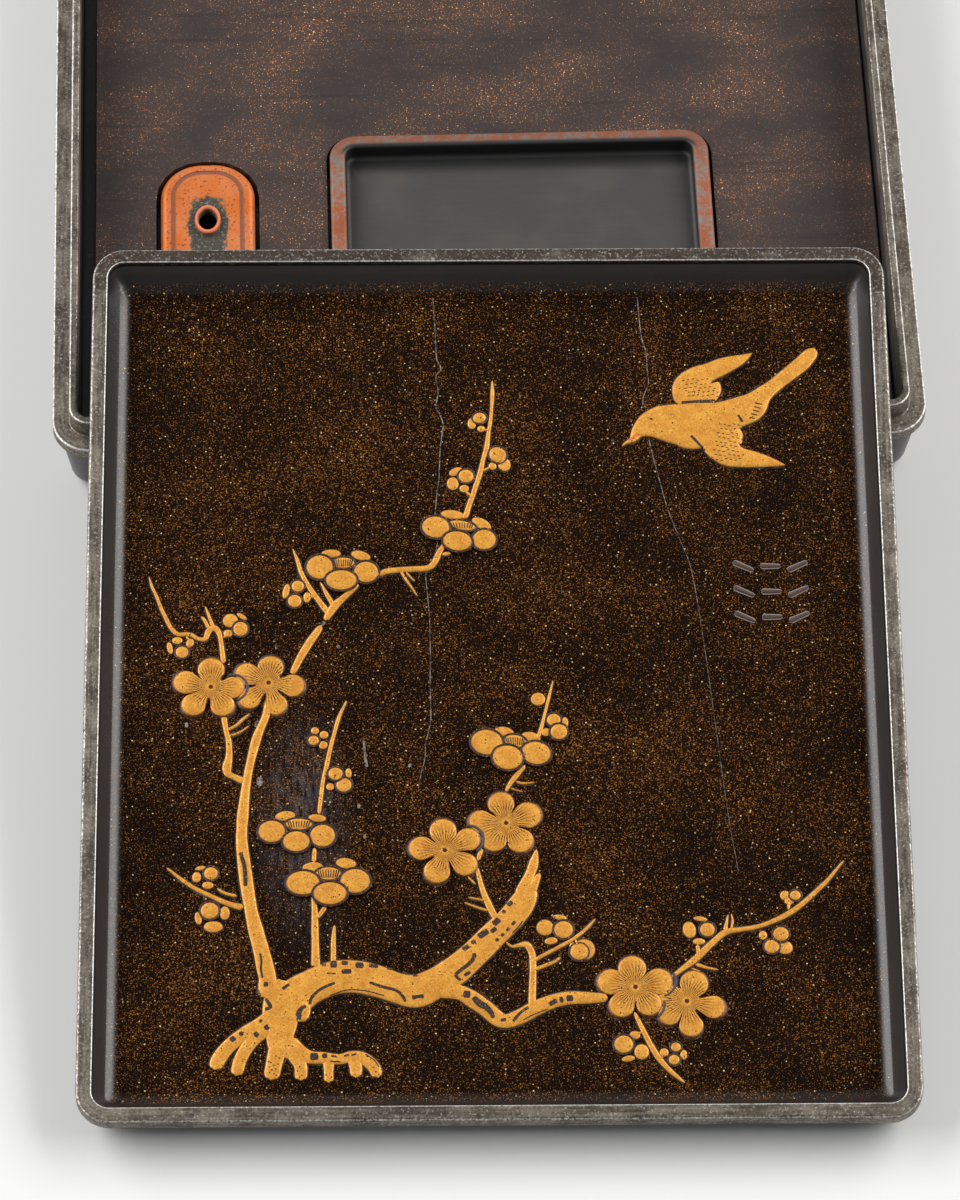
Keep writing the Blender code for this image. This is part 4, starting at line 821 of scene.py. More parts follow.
def along(knots, step=PATH_STEP):
    """A smooth path through knots of x, y and half widths, sampled at about the given step.

    Between two knots each column follows the Catmull-Rom cubic through them and their neighbours.
    """
    knots = np.asarray(knots, float)
    padded = np.vstack([2 * knots[0] - knots[1], knots, 2 * knots[-1] - knots[-2]])
    parts = []
    for before, start, end, after in zip(padded, padded[1:], padded[2:], padded[3:]):
        steps = max(2, round(math.dist(start[:2], end[:2]) / step))
        t = np.arange(steps)[:, None] / steps
        swing = (end - before) * t + (2 * before - 5 * start + 4 * end - after) * t ** 2
        parts.append(start + (swing + (3 * start - before - 3 * end + after) * t ** 3) / 2)
    parts.append(knots[-1:])
    return np.vstack(parts)


def widths_to_sides(knots):
    """Knots of x, y and width, or of x, y, left and right half width, as the second kind."""
    return [knot if len(knot) == 4 else (knot[0], knot[1], knot[2] / 2, knot[2] / 2) for knot in knots]


def rounded_ends(path, share=1.0):
    """Half widths of a path drawn in near both ends by an ellipse as long as that share of the half
    width, so that the band ends round, or blunt where the share is small."""
    run = np.concatenate([[0], np.cumsum(np.hypot(*np.diff(path[:, :2], axis=0).T))])
    from_end = np.minimum(run, run[-1] - run)[:, None]
    half = np.maximum(path[:, 2:], LEAST_HALF_WIDTH)
    inside = np.clip(from_end / (half * share), 0, 1)
    return half * np.sqrt(1 - (1 - inside) ** 2) + END_HALF_WIDTH


def dome(share):
    """Height of a rounded band at a share of its half width: a steep edge and a nearly flat crown."""
    return EDGE_SHARE + (1 - EDGE_SHARE) * np.sqrt(np.clip(1 - np.abs(share) ** CROWN_POWER, 0, 1))


def spread(path, half, sides, skirt=0):
    """Flat places of a section carried along a path: each point lies square to the path, by its share
    of the half width on its side plus its share of the skirt."""
    ahead = np.gradient(path[:, :2], axis=0)
    ahead /= np.hypot(*ahead.T)[:, None]
    across = np.stack([-ahead[:, 1], ahead[:, 0]], axis=1)
    reach = np.where(sides >= 0, half[:, :1], half[:, 1:]) * sides
    reach = reach + np.sign(sides) * skirt
    return path[:, None, :2] + across[:, None] * reach[..., None]


raised = []
BAND_SIDES = np.array([1, 1, 1, 1, 0.97, 0.88, 0.7, 0.4, 0, -0.4, -0.7, -0.88, -0.97, -1, -1, -1, -1])
BAND_SKIRT = np.array([1, 1, 0.1, 0, 0, 0, 0, 0, 0, 0, 0, 0, 0, 0, 0.1, 1, 1]) * HALO_WIDTH
BAND_HALO = np.array([1, 1, 1, 0, 0, 0, 0, 0, 0, 0, 0, 0, 0, 0, 1, 1, 1])
BAND_OUTLINE = np.array([0, 0, 0, 1, 1, 0.3, 0, 0, 0, 0, 0, 0.3, 1, 1, 0, 0, 0]) * 0.75


def domed_band(knots, height, level=0.0):
    """Loops of a rounded band: at each point of its path, a section that runs left to right over it.

    Each section point stands at the dome's height for its share of the half width; the skirt's foot
    is just over the ground. The band is noted in raised, for the marks that lie on it later.
    """
    path = along(widths_to_sides(knots))
    half = rounded_ends(path)
    raised.append((path[:, :2], half.mean(axis=1), height))
    flat = spread(path, half, BAND_SIDES, BAND_SKIRT)
    rise = height * dome(BAND_SIDES)
    rise[[2, -3]] = HALO_LEVEL * 2
    rise[[1, -2]] = HALO_LEVEL
    rise[[0, -1]] = BURIED
    rise = np.broadcast_to(rise + level, flat.shape[:2])
    return np.dstack([flat, rise[..., None]])


def gathered(shells):
    """Several closed skins as one run of points and faces."""
    points, faces, first = [], [], 0
    for loops in shells:
        points.append(loops.reshape(-1, 3))
        faces += skin(loops, first=first)
        first += loops.shape[0] * loops.shape[1]
    return np.concatenate(points), faces


def gold_lacquer(name, with_stamens):
    """Raised gold lacquer: gives a warm satin yellow gold with pale flecks where the dust is thick, dark
    red-brown specks where it has gone, and a thin dark line on the ground round its edge, greyed in
    patches as a painted sheen from the rising edge. With stamens, fine broken brown lines run out from
    the heart of the flower.
    """
    made, tree, shader = new_material(name)
    place = add_node(tree, "TexCoord", {}).outputs["Object"]
    halo = add_node(tree, "Attribute", {}, attribute_name="halo").outputs["Fac"]
    sheen = add_node(tree, "TexNoise", {"Vector": place, "Scale": 1 / (2.6 * MM), "Detail": 5,
                                        "Roughness": 0.65})
    dust = add_node(tree, "TexNoise", {"Vector": place, "Scale": 1 / (0.45 * MM), "Detail": 3,
                                       "Roughness": 0.75})
    pores = add_node(tree, "TexVoronoi", {"Vector": place, "Scale": 1 / (0.9 * MM), "Randomness": 1.0})
    pore_patch = add_node(tree, "MapRange", {"Value": sheen.outputs[0], "From Min": 0.42, "From Max": 0.62,
                                             "To Min": 0.04, "To Max": 0.25})
    pore_share = add_node(tree, "Math", {0: pores.outputs["Distance"], 1: pore_patch.outputs[0]},
                          operation="LESS_THAN")
    tone_share = add_node(tree, "MapRange", {"Value": sheen.outputs[0], "From Min": 0.35, "From Max": 0.65})
    tone = add_node(tree, "Mix", {0: tone_share.outputs[0], 6: linear("#CE8628"), 7: linear("#E8A43A")},
                    data_type="RGBA")
    fleck_share = add_node(tree, "MapRange", {"Value": dust.outputs[0], "From Min": 0.56, "From Max": 0.68})
    flecked = add_node(tree, "Mix", {0: fleck_share.outputs[0], 6: tone.outputs[2], 7: linear("#F6C868")},
                       data_type="RGBA")
    dull_share = add_node(tree, "MapRange", {"Value": dust.outputs[0], "From Min": 0.44, "From Max": 0.34})
    dulled = add_node(tree, "Mix", {0: dull_share.outputs[0], 6: flecked.outputs[2], 7: linear("#A9621A")},
                      data_type="RGBA")
    pored = add_node(tree, "Mix", {0: pore_share.outputs[0], 6: dulled.outputs[2], 7: linear("#5E2C12")},
                     data_type="RGBA")
    outlined = add_node(tree, "Attribute", {}, attribute_name="outlined").outputs["Fac"]
    outline_break = add_node(tree, "Math", {0: dust.outputs[0], 1: 0.35}, operation="ADD")
    outline_field = add_node(tree, "Math", {0: outlined, 1: outline_break.outputs[0]}, operation="MULTIPLY")
    outline_share = add_node(tree, "MapRange", {"Value": outline_field.outputs[0], "From Min": 0.50,
                                                "From Max": 0.82})
    lined = add_node(tree, "Mix", {0: outline_share.outputs[0], 6: pored.outputs[2], 7: linear("#5A2E12")},
                     data_type="RGBA")
    gold = lined.outputs[2]
    if with_stamens:
        plan = add_node(tree, "UVMap", {}, uv_map="plan").outputs[0]
        parts = add_node(tree, "SeparateXYZ", {"Vector": plan})
        bearing = add_node(tree, "Math", {0: parts.outputs[1], 1: parts.outputs[0]}, operation="ARCTAN2")
        radius = add_node(tree, "VectorMath", {0: plan}, operation="LENGTH").outputs["Value"]
        swing = add_node(tree, "Math", {0: sheen.outputs[0], 1: 9.0}, operation="MULTIPLY")
        spin = add_node(tree, "Math", {0: bearing.outputs[0], 1: 43.0, 2: swing.outputs[0]},
                        operation="MULTIPLY_ADD")
        wave = add_node(tree, "Math", {0: spin.outputs[0]}, operation="SINE")
        line = add_node(tree, "MapRange", {"Value": wave.outputs[0], "From Min": -0.1, "From Max": 0.4})
        inner = add_node(tree, "MapRange", {"Value": radius, "From Min": 0.10, "From Max": 0.17})
        reach = add_node(tree, "MapRange", {"Value": radius, "From Min": 0.76, "From Max": 0.46})
        broken = add_node(tree, "MapRange", {"Value": dust.outputs[0], "From Min": 0.40, "From Max": 0.50})
        knot = add_node(tree, "MapRange", {"Value": radius, "From Min": 0.075, "From Max": 0.05})
        shares = [line.outputs[0], inner.outputs[0], reach.outputs[0], broken.outputs[0]]
        stroke = shares[0]
        for share in shares[1:]:
            stroke = add_node(tree, "Math", {0: stroke, 1: share}, operation="MULTIPLY").outputs[0]
        stroke = add_node(tree, "Math", {0: stroke, 1: knot.outputs[0]}, operation="MAXIMUM").outputs[0]
        gold = add_node(tree, "Mix", {0: stroke, 6: gold, 7: linear("#421C0A")}, data_type="RGBA").outputs[2]
    # The dark line round the gold's foot is lightened to grey in patches as a painted sheen from the rising
    # edge.
    halo_sheen_share = add_node(tree, "MapRange", {"Value": sheen.outputs[0], "From Min": 0.50, "From Max": 0.60})
    halo_line_and_sheen_tone = add_node(tree, "Mix", {0: halo_sheen_share.outputs[0], 6: linear("#1C120D"), 7: linear("#4C4446")},
                         data_type="RGBA")
    edged = add_node(tree, "Mix", {0: halo, 6: gold, 7: halo_line_and_sheen_tone.outputs[2]}, data_type="RGBA")
    metal = add_node(tree, "MapRange", {"Value": halo, "To Min": 0.25, "To Max": 0.0})
    rough = add_node(tree, "MapRange", {"Value": dust.outputs[0], "From Min": 0.3, "From Max": 0.7,
                                        "To Min": 0.52, "To Max": 0.34})
    grit = add_node(tree, "Bump", {"Height": dust.outputs[0], "Strength": 0.4, "Distance": 0.06 * MM})
    tree.links.new(edged.outputs[2], shader.inputs["Base Color"])
    tree.links.new(metal.outputs[0], shader.inputs["Metallic"])
    tree.links.new(rough.outputs[0], shader.inputs["Roughness"])
    tree.links.new(grit.outputs[0], shader.inputs["Normal"])
    return made


raised_gold = gold_lacquer("raised_gold_lacquer", False)


def lapped(bands, height):
    """Shells of many rounded bands, each a hair higher than the last so that none share a face."""
    return [domed_band(knots, height * (1 + LAP_SHARE * order), LAP_STEP * order)
            for order, knots in enumerate(bands)]


def lay_gold(name, shells):
    """One gold piece of several bands' shells, with where the ground line and the outline lie."""
    points, faces = gathered(shells)
    sections = sum(len(shell) for shell in shells)
    return make_piece(name, on_lid(points), faces, raised_gold,
                      values={"halo": np.tile(BAND_HALO, sections),
                              "outlined": np.tile(BAND_OUTLINE, sections)})


lay_gold("plum_branches", lapped(BRANCHES, BRANCH_HEIGHT))
lay_gold("plum_twigs", lapped(TWIGS, TWIG_HEIGHT))

# Dark slots and spots in the bark, where the gold was left out to show the black lacquer below: thin
# marks that lie on the gold. Each knot is a place and the mark's width.
BARK_MARKS = [
    [(-61.3, -45.4, 0.9), (-60.2, -49.6, 1.0), (-60, -54.2, 0.9)],
    [(-56.4, -71.4, 0.45), (-56.1, -73.3, 0.5), (-56.2, -75.4, 0.5), (-55.8, -77.8, 0.45)],
    [(-55.6, -79.3, 1.2), (-54.4, -79.4, 1.2)],
    [(-57.2, -79.7, 0.4), (-56.6, -81.5, 0.5), (-55.9, -83.4, 0.4)],
    [(-55.1, -82.9, 0.7), (-53.9, -85.0, 0.9), (-55.2, -85.7, 0.7)],
    [(-56.5, -88.4, 0.9), (-55.8, -88.8, 0.9)],
    [(-55.2, -90.7, 1.3), (-54.2, -89.8, 1.3)],
    [(-57.7, -92.4, 1.3), (-56.7, -91.6, 1.3)],
    [(-61.2, -92.1, 1.1), (-60.3, -91.5, 1.1)],
    [(-63.3, -93.5, 1.4), (-62.2, -92.7, 1.4)],
    [(-51.1, -80.6, 0.8), (-49.4, -79.3, 0.7)],
    [(-47.1, -88.6, 1.0), (-47.2, -86.8, 1.3), (-46.4, -85.4, 1.0), (-45.4, -85.0, 0.7)],
    [(-44.6, -84.5, 0.7), (-44.2, -82.9, 0.7), (-42.6, -81.1, 0.7), (-40.6, -79.9, 0.7),
     (-38.6, -79.1, 0.6)],
    [(-41.8, -74.3, 0.9), (-40.7, -74.4, 0.9)],
    [(-39.8, -74.3, 1.8), (-38.1, -74.3, 1.8)],
    [(-37.1, -73.9, 1.1), (-35.5, -74.1, 1.0)],
    [(-33.8, -74.5, 1.5), (-31.8, -74.7, 1.5)],
    [(-30.6, -74.5, 1.2), (-28.4, -74.8, 1.2)],
    [(-26.4, -75.2, 0.8), (-25.1, -75.6, 0.8)],
    [(-22.8, -76.4, 0.8), (-21.3, -76.7, 0.8)],
    [(-37.1, -76.2, 1.2), (-34.7, -76.2, 1.2)],
    [(-40.6, -76.6, 0.35), (-38.4, -76.8, 0.35)],
    [(-30.5, -79.0, 0.6), (-27.2, -80.2, 0.7), (-24.2, -81.1, 0.7), (-22.7, -82.4, 0.7),
     (-21.9, -84.0, 0.6)],
    [(-39.9, -82.2, 0.25), (-35.9, -80.9, 0.25), (-31.5, -81.1, 0.25), (-26.9, -82.4, 0.25)],
    [(-44.5, -97.7, 1.8), (-42.5, -97.6, 1.8)],
    [(-41.7, -97.4, 1.2), (-40.4, -97.5, 1.2)],
    [(-39.6, -97.5, 0.5), (-38.2, -97.7, 0.5)],
    [(-39.8, -98.9, 0.3), (-37.3, -99.0, 0.3)],
    [(-36.5, -97.6, 0.5), (-35.3, -97.2, 0.5)],
    [(-34.8, -97.5, 0.4), (-33.6, -97.0, 0.4)],
    [(-31.5, -97.1, 0.3), (-29.4, -98.6, 0.3), (-28.2, -100.4, 0.3)],
    [(-20.2, -77.2, 0.7), (-19.0, -77.2, 0.7)],
    [(-20.4, -83.0, 1.2), (-19.0, -82.7, 0.8), (-17.6, -82.6, 1.1)],
    [(-5.5, -71.7, 0.9), (-5.7, -73.0, 0.9), (-7.0, -74.6, 0.9), (-8.7, -76.0, 0.9), (-9.9, -77.1, 0.8),
     (-9.5, -78.1, 0.7), (-8.7, -78.5, 0.6)],
    [(-8.0, -77.4, 0.8), (-6.5, -76.5, 0.8)],
    [(-8.3, -70.8, 1.2), (-6.8, -69.8, 1.2)],
    [(-6.2, -69.2, 1.1), (-5.2, -68.5, 1.1)],
    [(-4.5, -67.6, 1.6), (-2.2, -65.9, 1.6)],
    [(-1.5, -66.4, 1.1), (-0.2, -65.3, 1.1)],
    [(-1.0, -64.4, 1.5), (0.6, -63.0, 1.5)],
    [(-0.4, -68.7, 0.7), (0.3, -68.0, 0.8)],
    [(0.9, -67.4, 0.7), (1.6, -66.7, 0.8)],
    [(2.2, -66.1, 0.7), (2.9, -65.3, 0.8)],
    [(3.5, -64.6, 0.7), (4.3, -63.6, 0.7)],
    [(2.4, -59.4, 1.5), (3.6, -58.4, 1.5)],
    [(1.3, -61.4, 1.0), (2.0, -60.8, 1.0)],
    [(6.2, -63.4, 0.3), (4.9, -65.2, 0.3), (3.6, -66.6, 0.3)],
    [(-8.3, -82.1, 1.8), (-6.5, -82.3, 1.8)],
    [(-5.9, -82.9, 1.2), (-4.4, -84.5, 1.7), (-3.0, -85.4, 1.5), (-1.7, -86.9, 1.2), (-1.2, -88.3, 0.8)],
    [(0.5, -88.8, 0.8), (1.9, -88.6, 0.8)],
    [(3.5, -89.2, 0.7), (4.2, -88.1, 0.7), (5.7, -86.5, 0.7), (7.2, -85.6, 0.7)],
    [(12.0, -85.0, 1.0), (13.9, -83.8, 1.2)],
    [(14.5, -83.8, 1.5), (15.5, -83.6, 1.5)],
    [(16.1, -83.4, 1.5), (17.8, -83.3, 1.5)],
    [(5.8, -88.8, 0.25), (8.2, -87.5, 0.25), (11.7, -86.0, 0.25)],
    [(-4.4, -81.4, 0.25), (-1.2, -84.3, 0.25), (1.1, -86.7, 0.25)],
    [(11.4, -74.4, 0.3), (14.0, -73.4, 0.3)],
]
BARK_DOTS = [
    (-52.7, -97.6), (-53.9, -99.2), (-54.2, -100.3), (-53.2, -99.9), (-52.2, -99.6), (-53.7, -101.0),
    (-52.7, -100.8), (-54.2, -101.7), (-53.2, -102.0), (-54.4, -99.0), (-51.9, -98.1), (-52.6, -102.4),
    (-47.6, -101.3), (-46.6, -102.4), (-47.1, -100.3), (-29.2, -101.7), (-28.5, -102.4), (-29.7, -100.6),
    (-40.9, -102.4), (-39.6, -102.9), (-20.4, -79.6), (-45.3, -88.2),
]
DOT_SIZE = 0.38
MARK_STEP = 0.15
MARK_END_SHARE = 0.4
MARK_LIFT = 0.03
MARK_THICKNESS = 0.06
MARK_SIDES = np.array([1, 0.5, 0, -0.5, -1, -1, -0.5, 0, 0.5, 1])
MARK_DROP = np.array([0, 0, 0, 0, 0, 1, 1, 1, 1, 1]) * MARK_THICKNESS


def gold_height(places):
    """Height of the raised gold at places on the field: the highest dome of the bands that cover each."""
    flat = places.reshape(-1, 2)
    highest = np.zeros(len(flat))
    for path, half, height in raised:
        apart = np.hypot(flat[:, None, 0] - path[None, :, 0], flat[:, None, 1] - path[None, :, 1])
        nearest = apart.argmin(axis=1)
        share = apart[np.arange(len(flat)), nearest] / half[nearest]
        highest = np.maximum(highest, np.where(share <= 1, height * dome(share), 0))
    return highest.reshape(places.shape[:-1])


def thin_mark(knots, lift=MARK_LIFT, on_gold=True):
    """Loops of a thin mark: a flat section carried along a path, lying on the gold or on the field."""
    path = along(widths_to_sides(knots), MARK_STEP)
    flat = spread(path, rounded_ends(path, MARK_END_SHARE), MARK_SIDES)
    rise = gold_height(flat) if on_gold else np.zeros(flat.shape[:2])
    return np.dstack([flat, (rise + lift - MARK_DROP)[..., None]])


# Bare black lacquer: gives a dull brown-black with the odd grain of gold left in it.
bare_lacquer, tree, shader = new_material("bare_lacquer")
place = add_node(tree, "TexCoord", {}).outputs["Object"]
grains = add_node(tree, "TexNoise", {"Vector": place, "Scale": 1 / (0.5 * MM), "Detail": 3,
                                     "Roughness": 0.7})
grain_share = add_node(tree, "MapRange", {"Value": grains.outputs[0], "From Min": 0.58, "From Max": 0.70})
tone = add_node(tree, "Mix", {0: grain_share.outputs[0], 6: linear("#2A1A14"), 7: linear("#B4762C")},
                data_type="RGBA")
tree.links.new(tone.outputs[2], shader.inputs["Base Color"])
shader.inputs["Roughness"].default_value = 0.5
dots = [[(x, y, DOT_SIZE), (x + DOT_SIZE, y + DOT_SIZE / 2, DOT_SIZE)] for x, y in BARK_DOTS]
points, faces = gathered([thin_mark(knots) for knots in BARK_MARKS + dots])
make_piece("bark_marks", on_lid(points), faces, bare_lacquer)

# The blossoms seen from the front: five round petals each in one raised gold shape, with brown
# stamens round a dark heart. Each has its heart's place, its height and its petals' places and radii.
BLOSSOMS = [
    ((-68.8, -1.8), 0.90, [(-63.3, -2.0, 3.0), (-68.75, 2.9, 3.4), (-75.1, -0.5, 3.2), (-73.1, -6.7, 3.1),
                           (-65.8, -6.9, 3.1)]),
    ((-54.8, -0.7), 0.64, [(-48.7, -1.5, 3.1), (-54.3, 3.5, 3.3), (-60.3, 1.7, 3.1), (-59.6, -5.0, 2.9),
                           (-52.9, -6.8, 2.9)]),
    ((-12.3, -45.2), 0.90, [(-6.5, -42.3, 3.1), (-12.7, -40, 3.4), (-18.1, -44.6, 3.2),
                            (-14.3, -50.8, 3.3), (-7.3, -49, 3.1)]),
    ((2.5, -38.1), 0.64, [(7.9, -36, 3.5), (1.3, -32.9, 3.3), (-3.8, -37.7, 3.1), (-0.6, -42.6, 3.2),
                          (6, -42.9, 3.3)]),
    ((32.6, -80.6), 0.90, [(38.3, -79.2, 3.5), (31.9, -75.8, 3.5), (26.6, -79.2, 3.4),
                           (29.1, -85.4, 3.2), (35.8, -85, 3.2)]),
    ((44.7, -84.2), 0.64, [(51.2, -85.8, 3.0), (46.6, -79.6, 3.5), (40.8, -82.9, 3.1),
                           (40.3, -87.7, 2.8), (45.6, -90.6, 3.0)]),
]
BLOSSOM_RADIUS = 9.0
BLOSSOM_BEARINGS = 180
HEART_REACH = 3.2
FLOWER_ROWS = np.array([1, 1, 1, 1, 0.985, 0.95, 0.9, 0.82, 0.72, 0.6, 0.48, 0.36, 0.24, 0.12, 0.02])
FLOWER_SKIRT = np.array([1, 1, 0.1] + [0] * 12) * HALO_WIDTH
FLOWER_HALO = np.array([1, 1, 1] + [0] * 12)
FLOWER_OUTLINE = np.array([0, 0, 0, 1, 1, 0.9, 0.4] + [0] * 8)
VALLEY_WIDTH = 0.22
VALLEY_START = 4.0
HOLLOW_SHARE = 0.30
SWELL_SHARE = 0.9
FLOWER_EDGE_POWER = 8


def petal_outline(heart, petals, bearings):
    """How far the group of round petals reaches from the heart at each bearing: the furthest crossing
    of that ray with any petal's circle."""
    cosine, sine = np.cos(bearings), np.sin(bearings)
    furthest = np.full(len(bearings), HEART_REACH)
    for x, y, radius in petals:
        x, y = x - heart[0], y - heart[1]
        towards = cosine * x + sine * y
        under_root = towards ** 2 - (x * x + y * y - radius * radius)
        crossing = towards + np.sqrt(np.maximum(under_root, 0))
        furthest = np.where(under_root >= 0, np.maximum(furthest, crossing), furthest)
    return furthest


def blossom(heart, height, petals):
    """Loops of a five-petalled blossom: the outline drawn in towards the heart, row by row.

    The height falls away at the outline as an ellipse does, and each petal is hollowed less at its
    middle than between the petals and round the heart.
    """
    bearings = np.arange(BLOSSOM_BEARINGS) / BLOSSOM_BEARINGS * 2 * math.pi
    outline = petal_outline(heart, petals, bearings)
    reach = FLOWER_ROWS[:, None] * outline + FLOWER_SKIRT[:, None]
    flat = np.dstack([heart[0] + reach * np.cos(bearings), heart[1] + reach * np.sin(bearings)])
    swell = np.zeros(flat.shape[:2])
    for x, y, radius in petals:
        apart = np.hypot(flat[..., 0] - x, flat[..., 1] - y) / radius
        swell = np.maximum(swell, np.sqrt(np.clip(1 - SWELL_SHARE * apart ** 2, 0, 1)))
    edge = EDGE_SHARE + (1 - EDGE_SHARE) * np.sqrt(1 - FLOWER_ROWS[:, None] ** FLOWER_EDGE_POWER)
    rise = height * (1 - HOLLOW_SHARE + HOLLOW_SHARE * swell) * edge
    rise[0] = BURIED
    rise[1] = HALO_LEVEL
    rise[2] = HALO_LEVEL * 2
    return np.dstack([flat, rise[..., None]])


def petal_lines(loops, heart, petals):
    """How much of a dark line lies at each point: one where two petals are equally near, none where
    one is clearly nearer, and none near the heart; or the outline's own share where that is more."""
    apart = [np.hypot(loops[..., 0] - x, loops[..., 1] - y) / radius for x, y, radius in petals]
    nearest = np.sort(apart, axis=0)
    valley = np.clip(1 - (nearest[1] - nearest[0]) / VALLEY_WIDTH, 0, 1)
    from_heart = np.hypot(loops[..., 0] - heart[0], loops[..., 1] - heart[1])
    valley = valley * np.clip(from_heart - VALLEY_START, 0, 1)
    valley[FLOWER_HALO == 1] = 0
    return np.maximum(valley, FLOWER_OUTLINE[:, None])


stamened_gold = gold_lacquer("raised_gold_with_stamens", True)
shells = [blossom(*entry) for entry in BLOSSOMS]
points, faces = gathered(shells)
halo = np.tile(np.repeat(FLOWER_HALO, BLOSSOM_BEARINGS), len(shells))
hearts = np.repeat([heart for heart, height, petals in BLOSSOMS], len(FLOWER_ROWS) * BLOSSOM_BEARINGS,
                   axis=0)
lines = np.array([petal_lines(loops, heart, petals)
                  for loops, (heart, height, petals) in zip(shells, BLOSSOMS)])
make_piece("open_blossoms", on_lid(points), faces, stamened_gold,
           values={"halo": halo, "outlined": lines}, plan=(points[:, :2] - hearts) / BLOSSOM_RADIUS)

# Gaps left round the petals that lie over another blossom, where the ground lacquer shows worn. Each
# has its petal's place and radius, and the bearings in degrees between which the gap runs.
PETAL_GAPS = [(-63.3, -2.0, 3.0, 112, -80), (-6.5, -42.3, 3.1, 100, -62), (38.3, -79.2, 3.5, 35, -75),
              (35.8, -85.0, 3.2, 15, -60)]
GAP_WIDTH = 0.8
GAP_HEIGHT = 0.72
GAP_KNOTS = 16

# Worn ground lacquer: gives a dull purple-grey black, cloudy where the dust is rubbed off it.
bare_ground, tree, shader = new_material("bare_ground")
place = add_node(tree, "TexCoord", {}).outputs["Object"]
wear_noise = add_node(tree, "TexNoise", {"Vector": place, "Scale": 1 / (0.9 * MM), "Detail": 4,
                                         "Roughness": 0.7})
tone = add_node(tree, "Mix", {0: wear_noise.outputs[0], 6: linear("#1C1516"), 7: linear("#544A50")},
                data_type="RGBA")
tree.links.new(tone.outputs[2], shader.inputs["Base Color"])
shader.inputs["Roughness"].default_value = 0.55
shells = []
for x, y, radius, first, last in PETAL_GAPS:
    bearing = np.radians(np.linspace(first, last, GAP_KNOTS))
    reach = radius + GAP_WIDTH / 2
    knots = np.column_stack([x + reach * np.cos(bearing), y + reach * np.sin(bearing),
                             np.full(GAP_KNOTS, GAP_WIDTH)])
    shells.append(domed_band(knots.tolist(), GAP_HEIGHT))
points, faces = gathered(shells)
make_piece("petal_gaps", on_lid(points), faces, bare_ground)

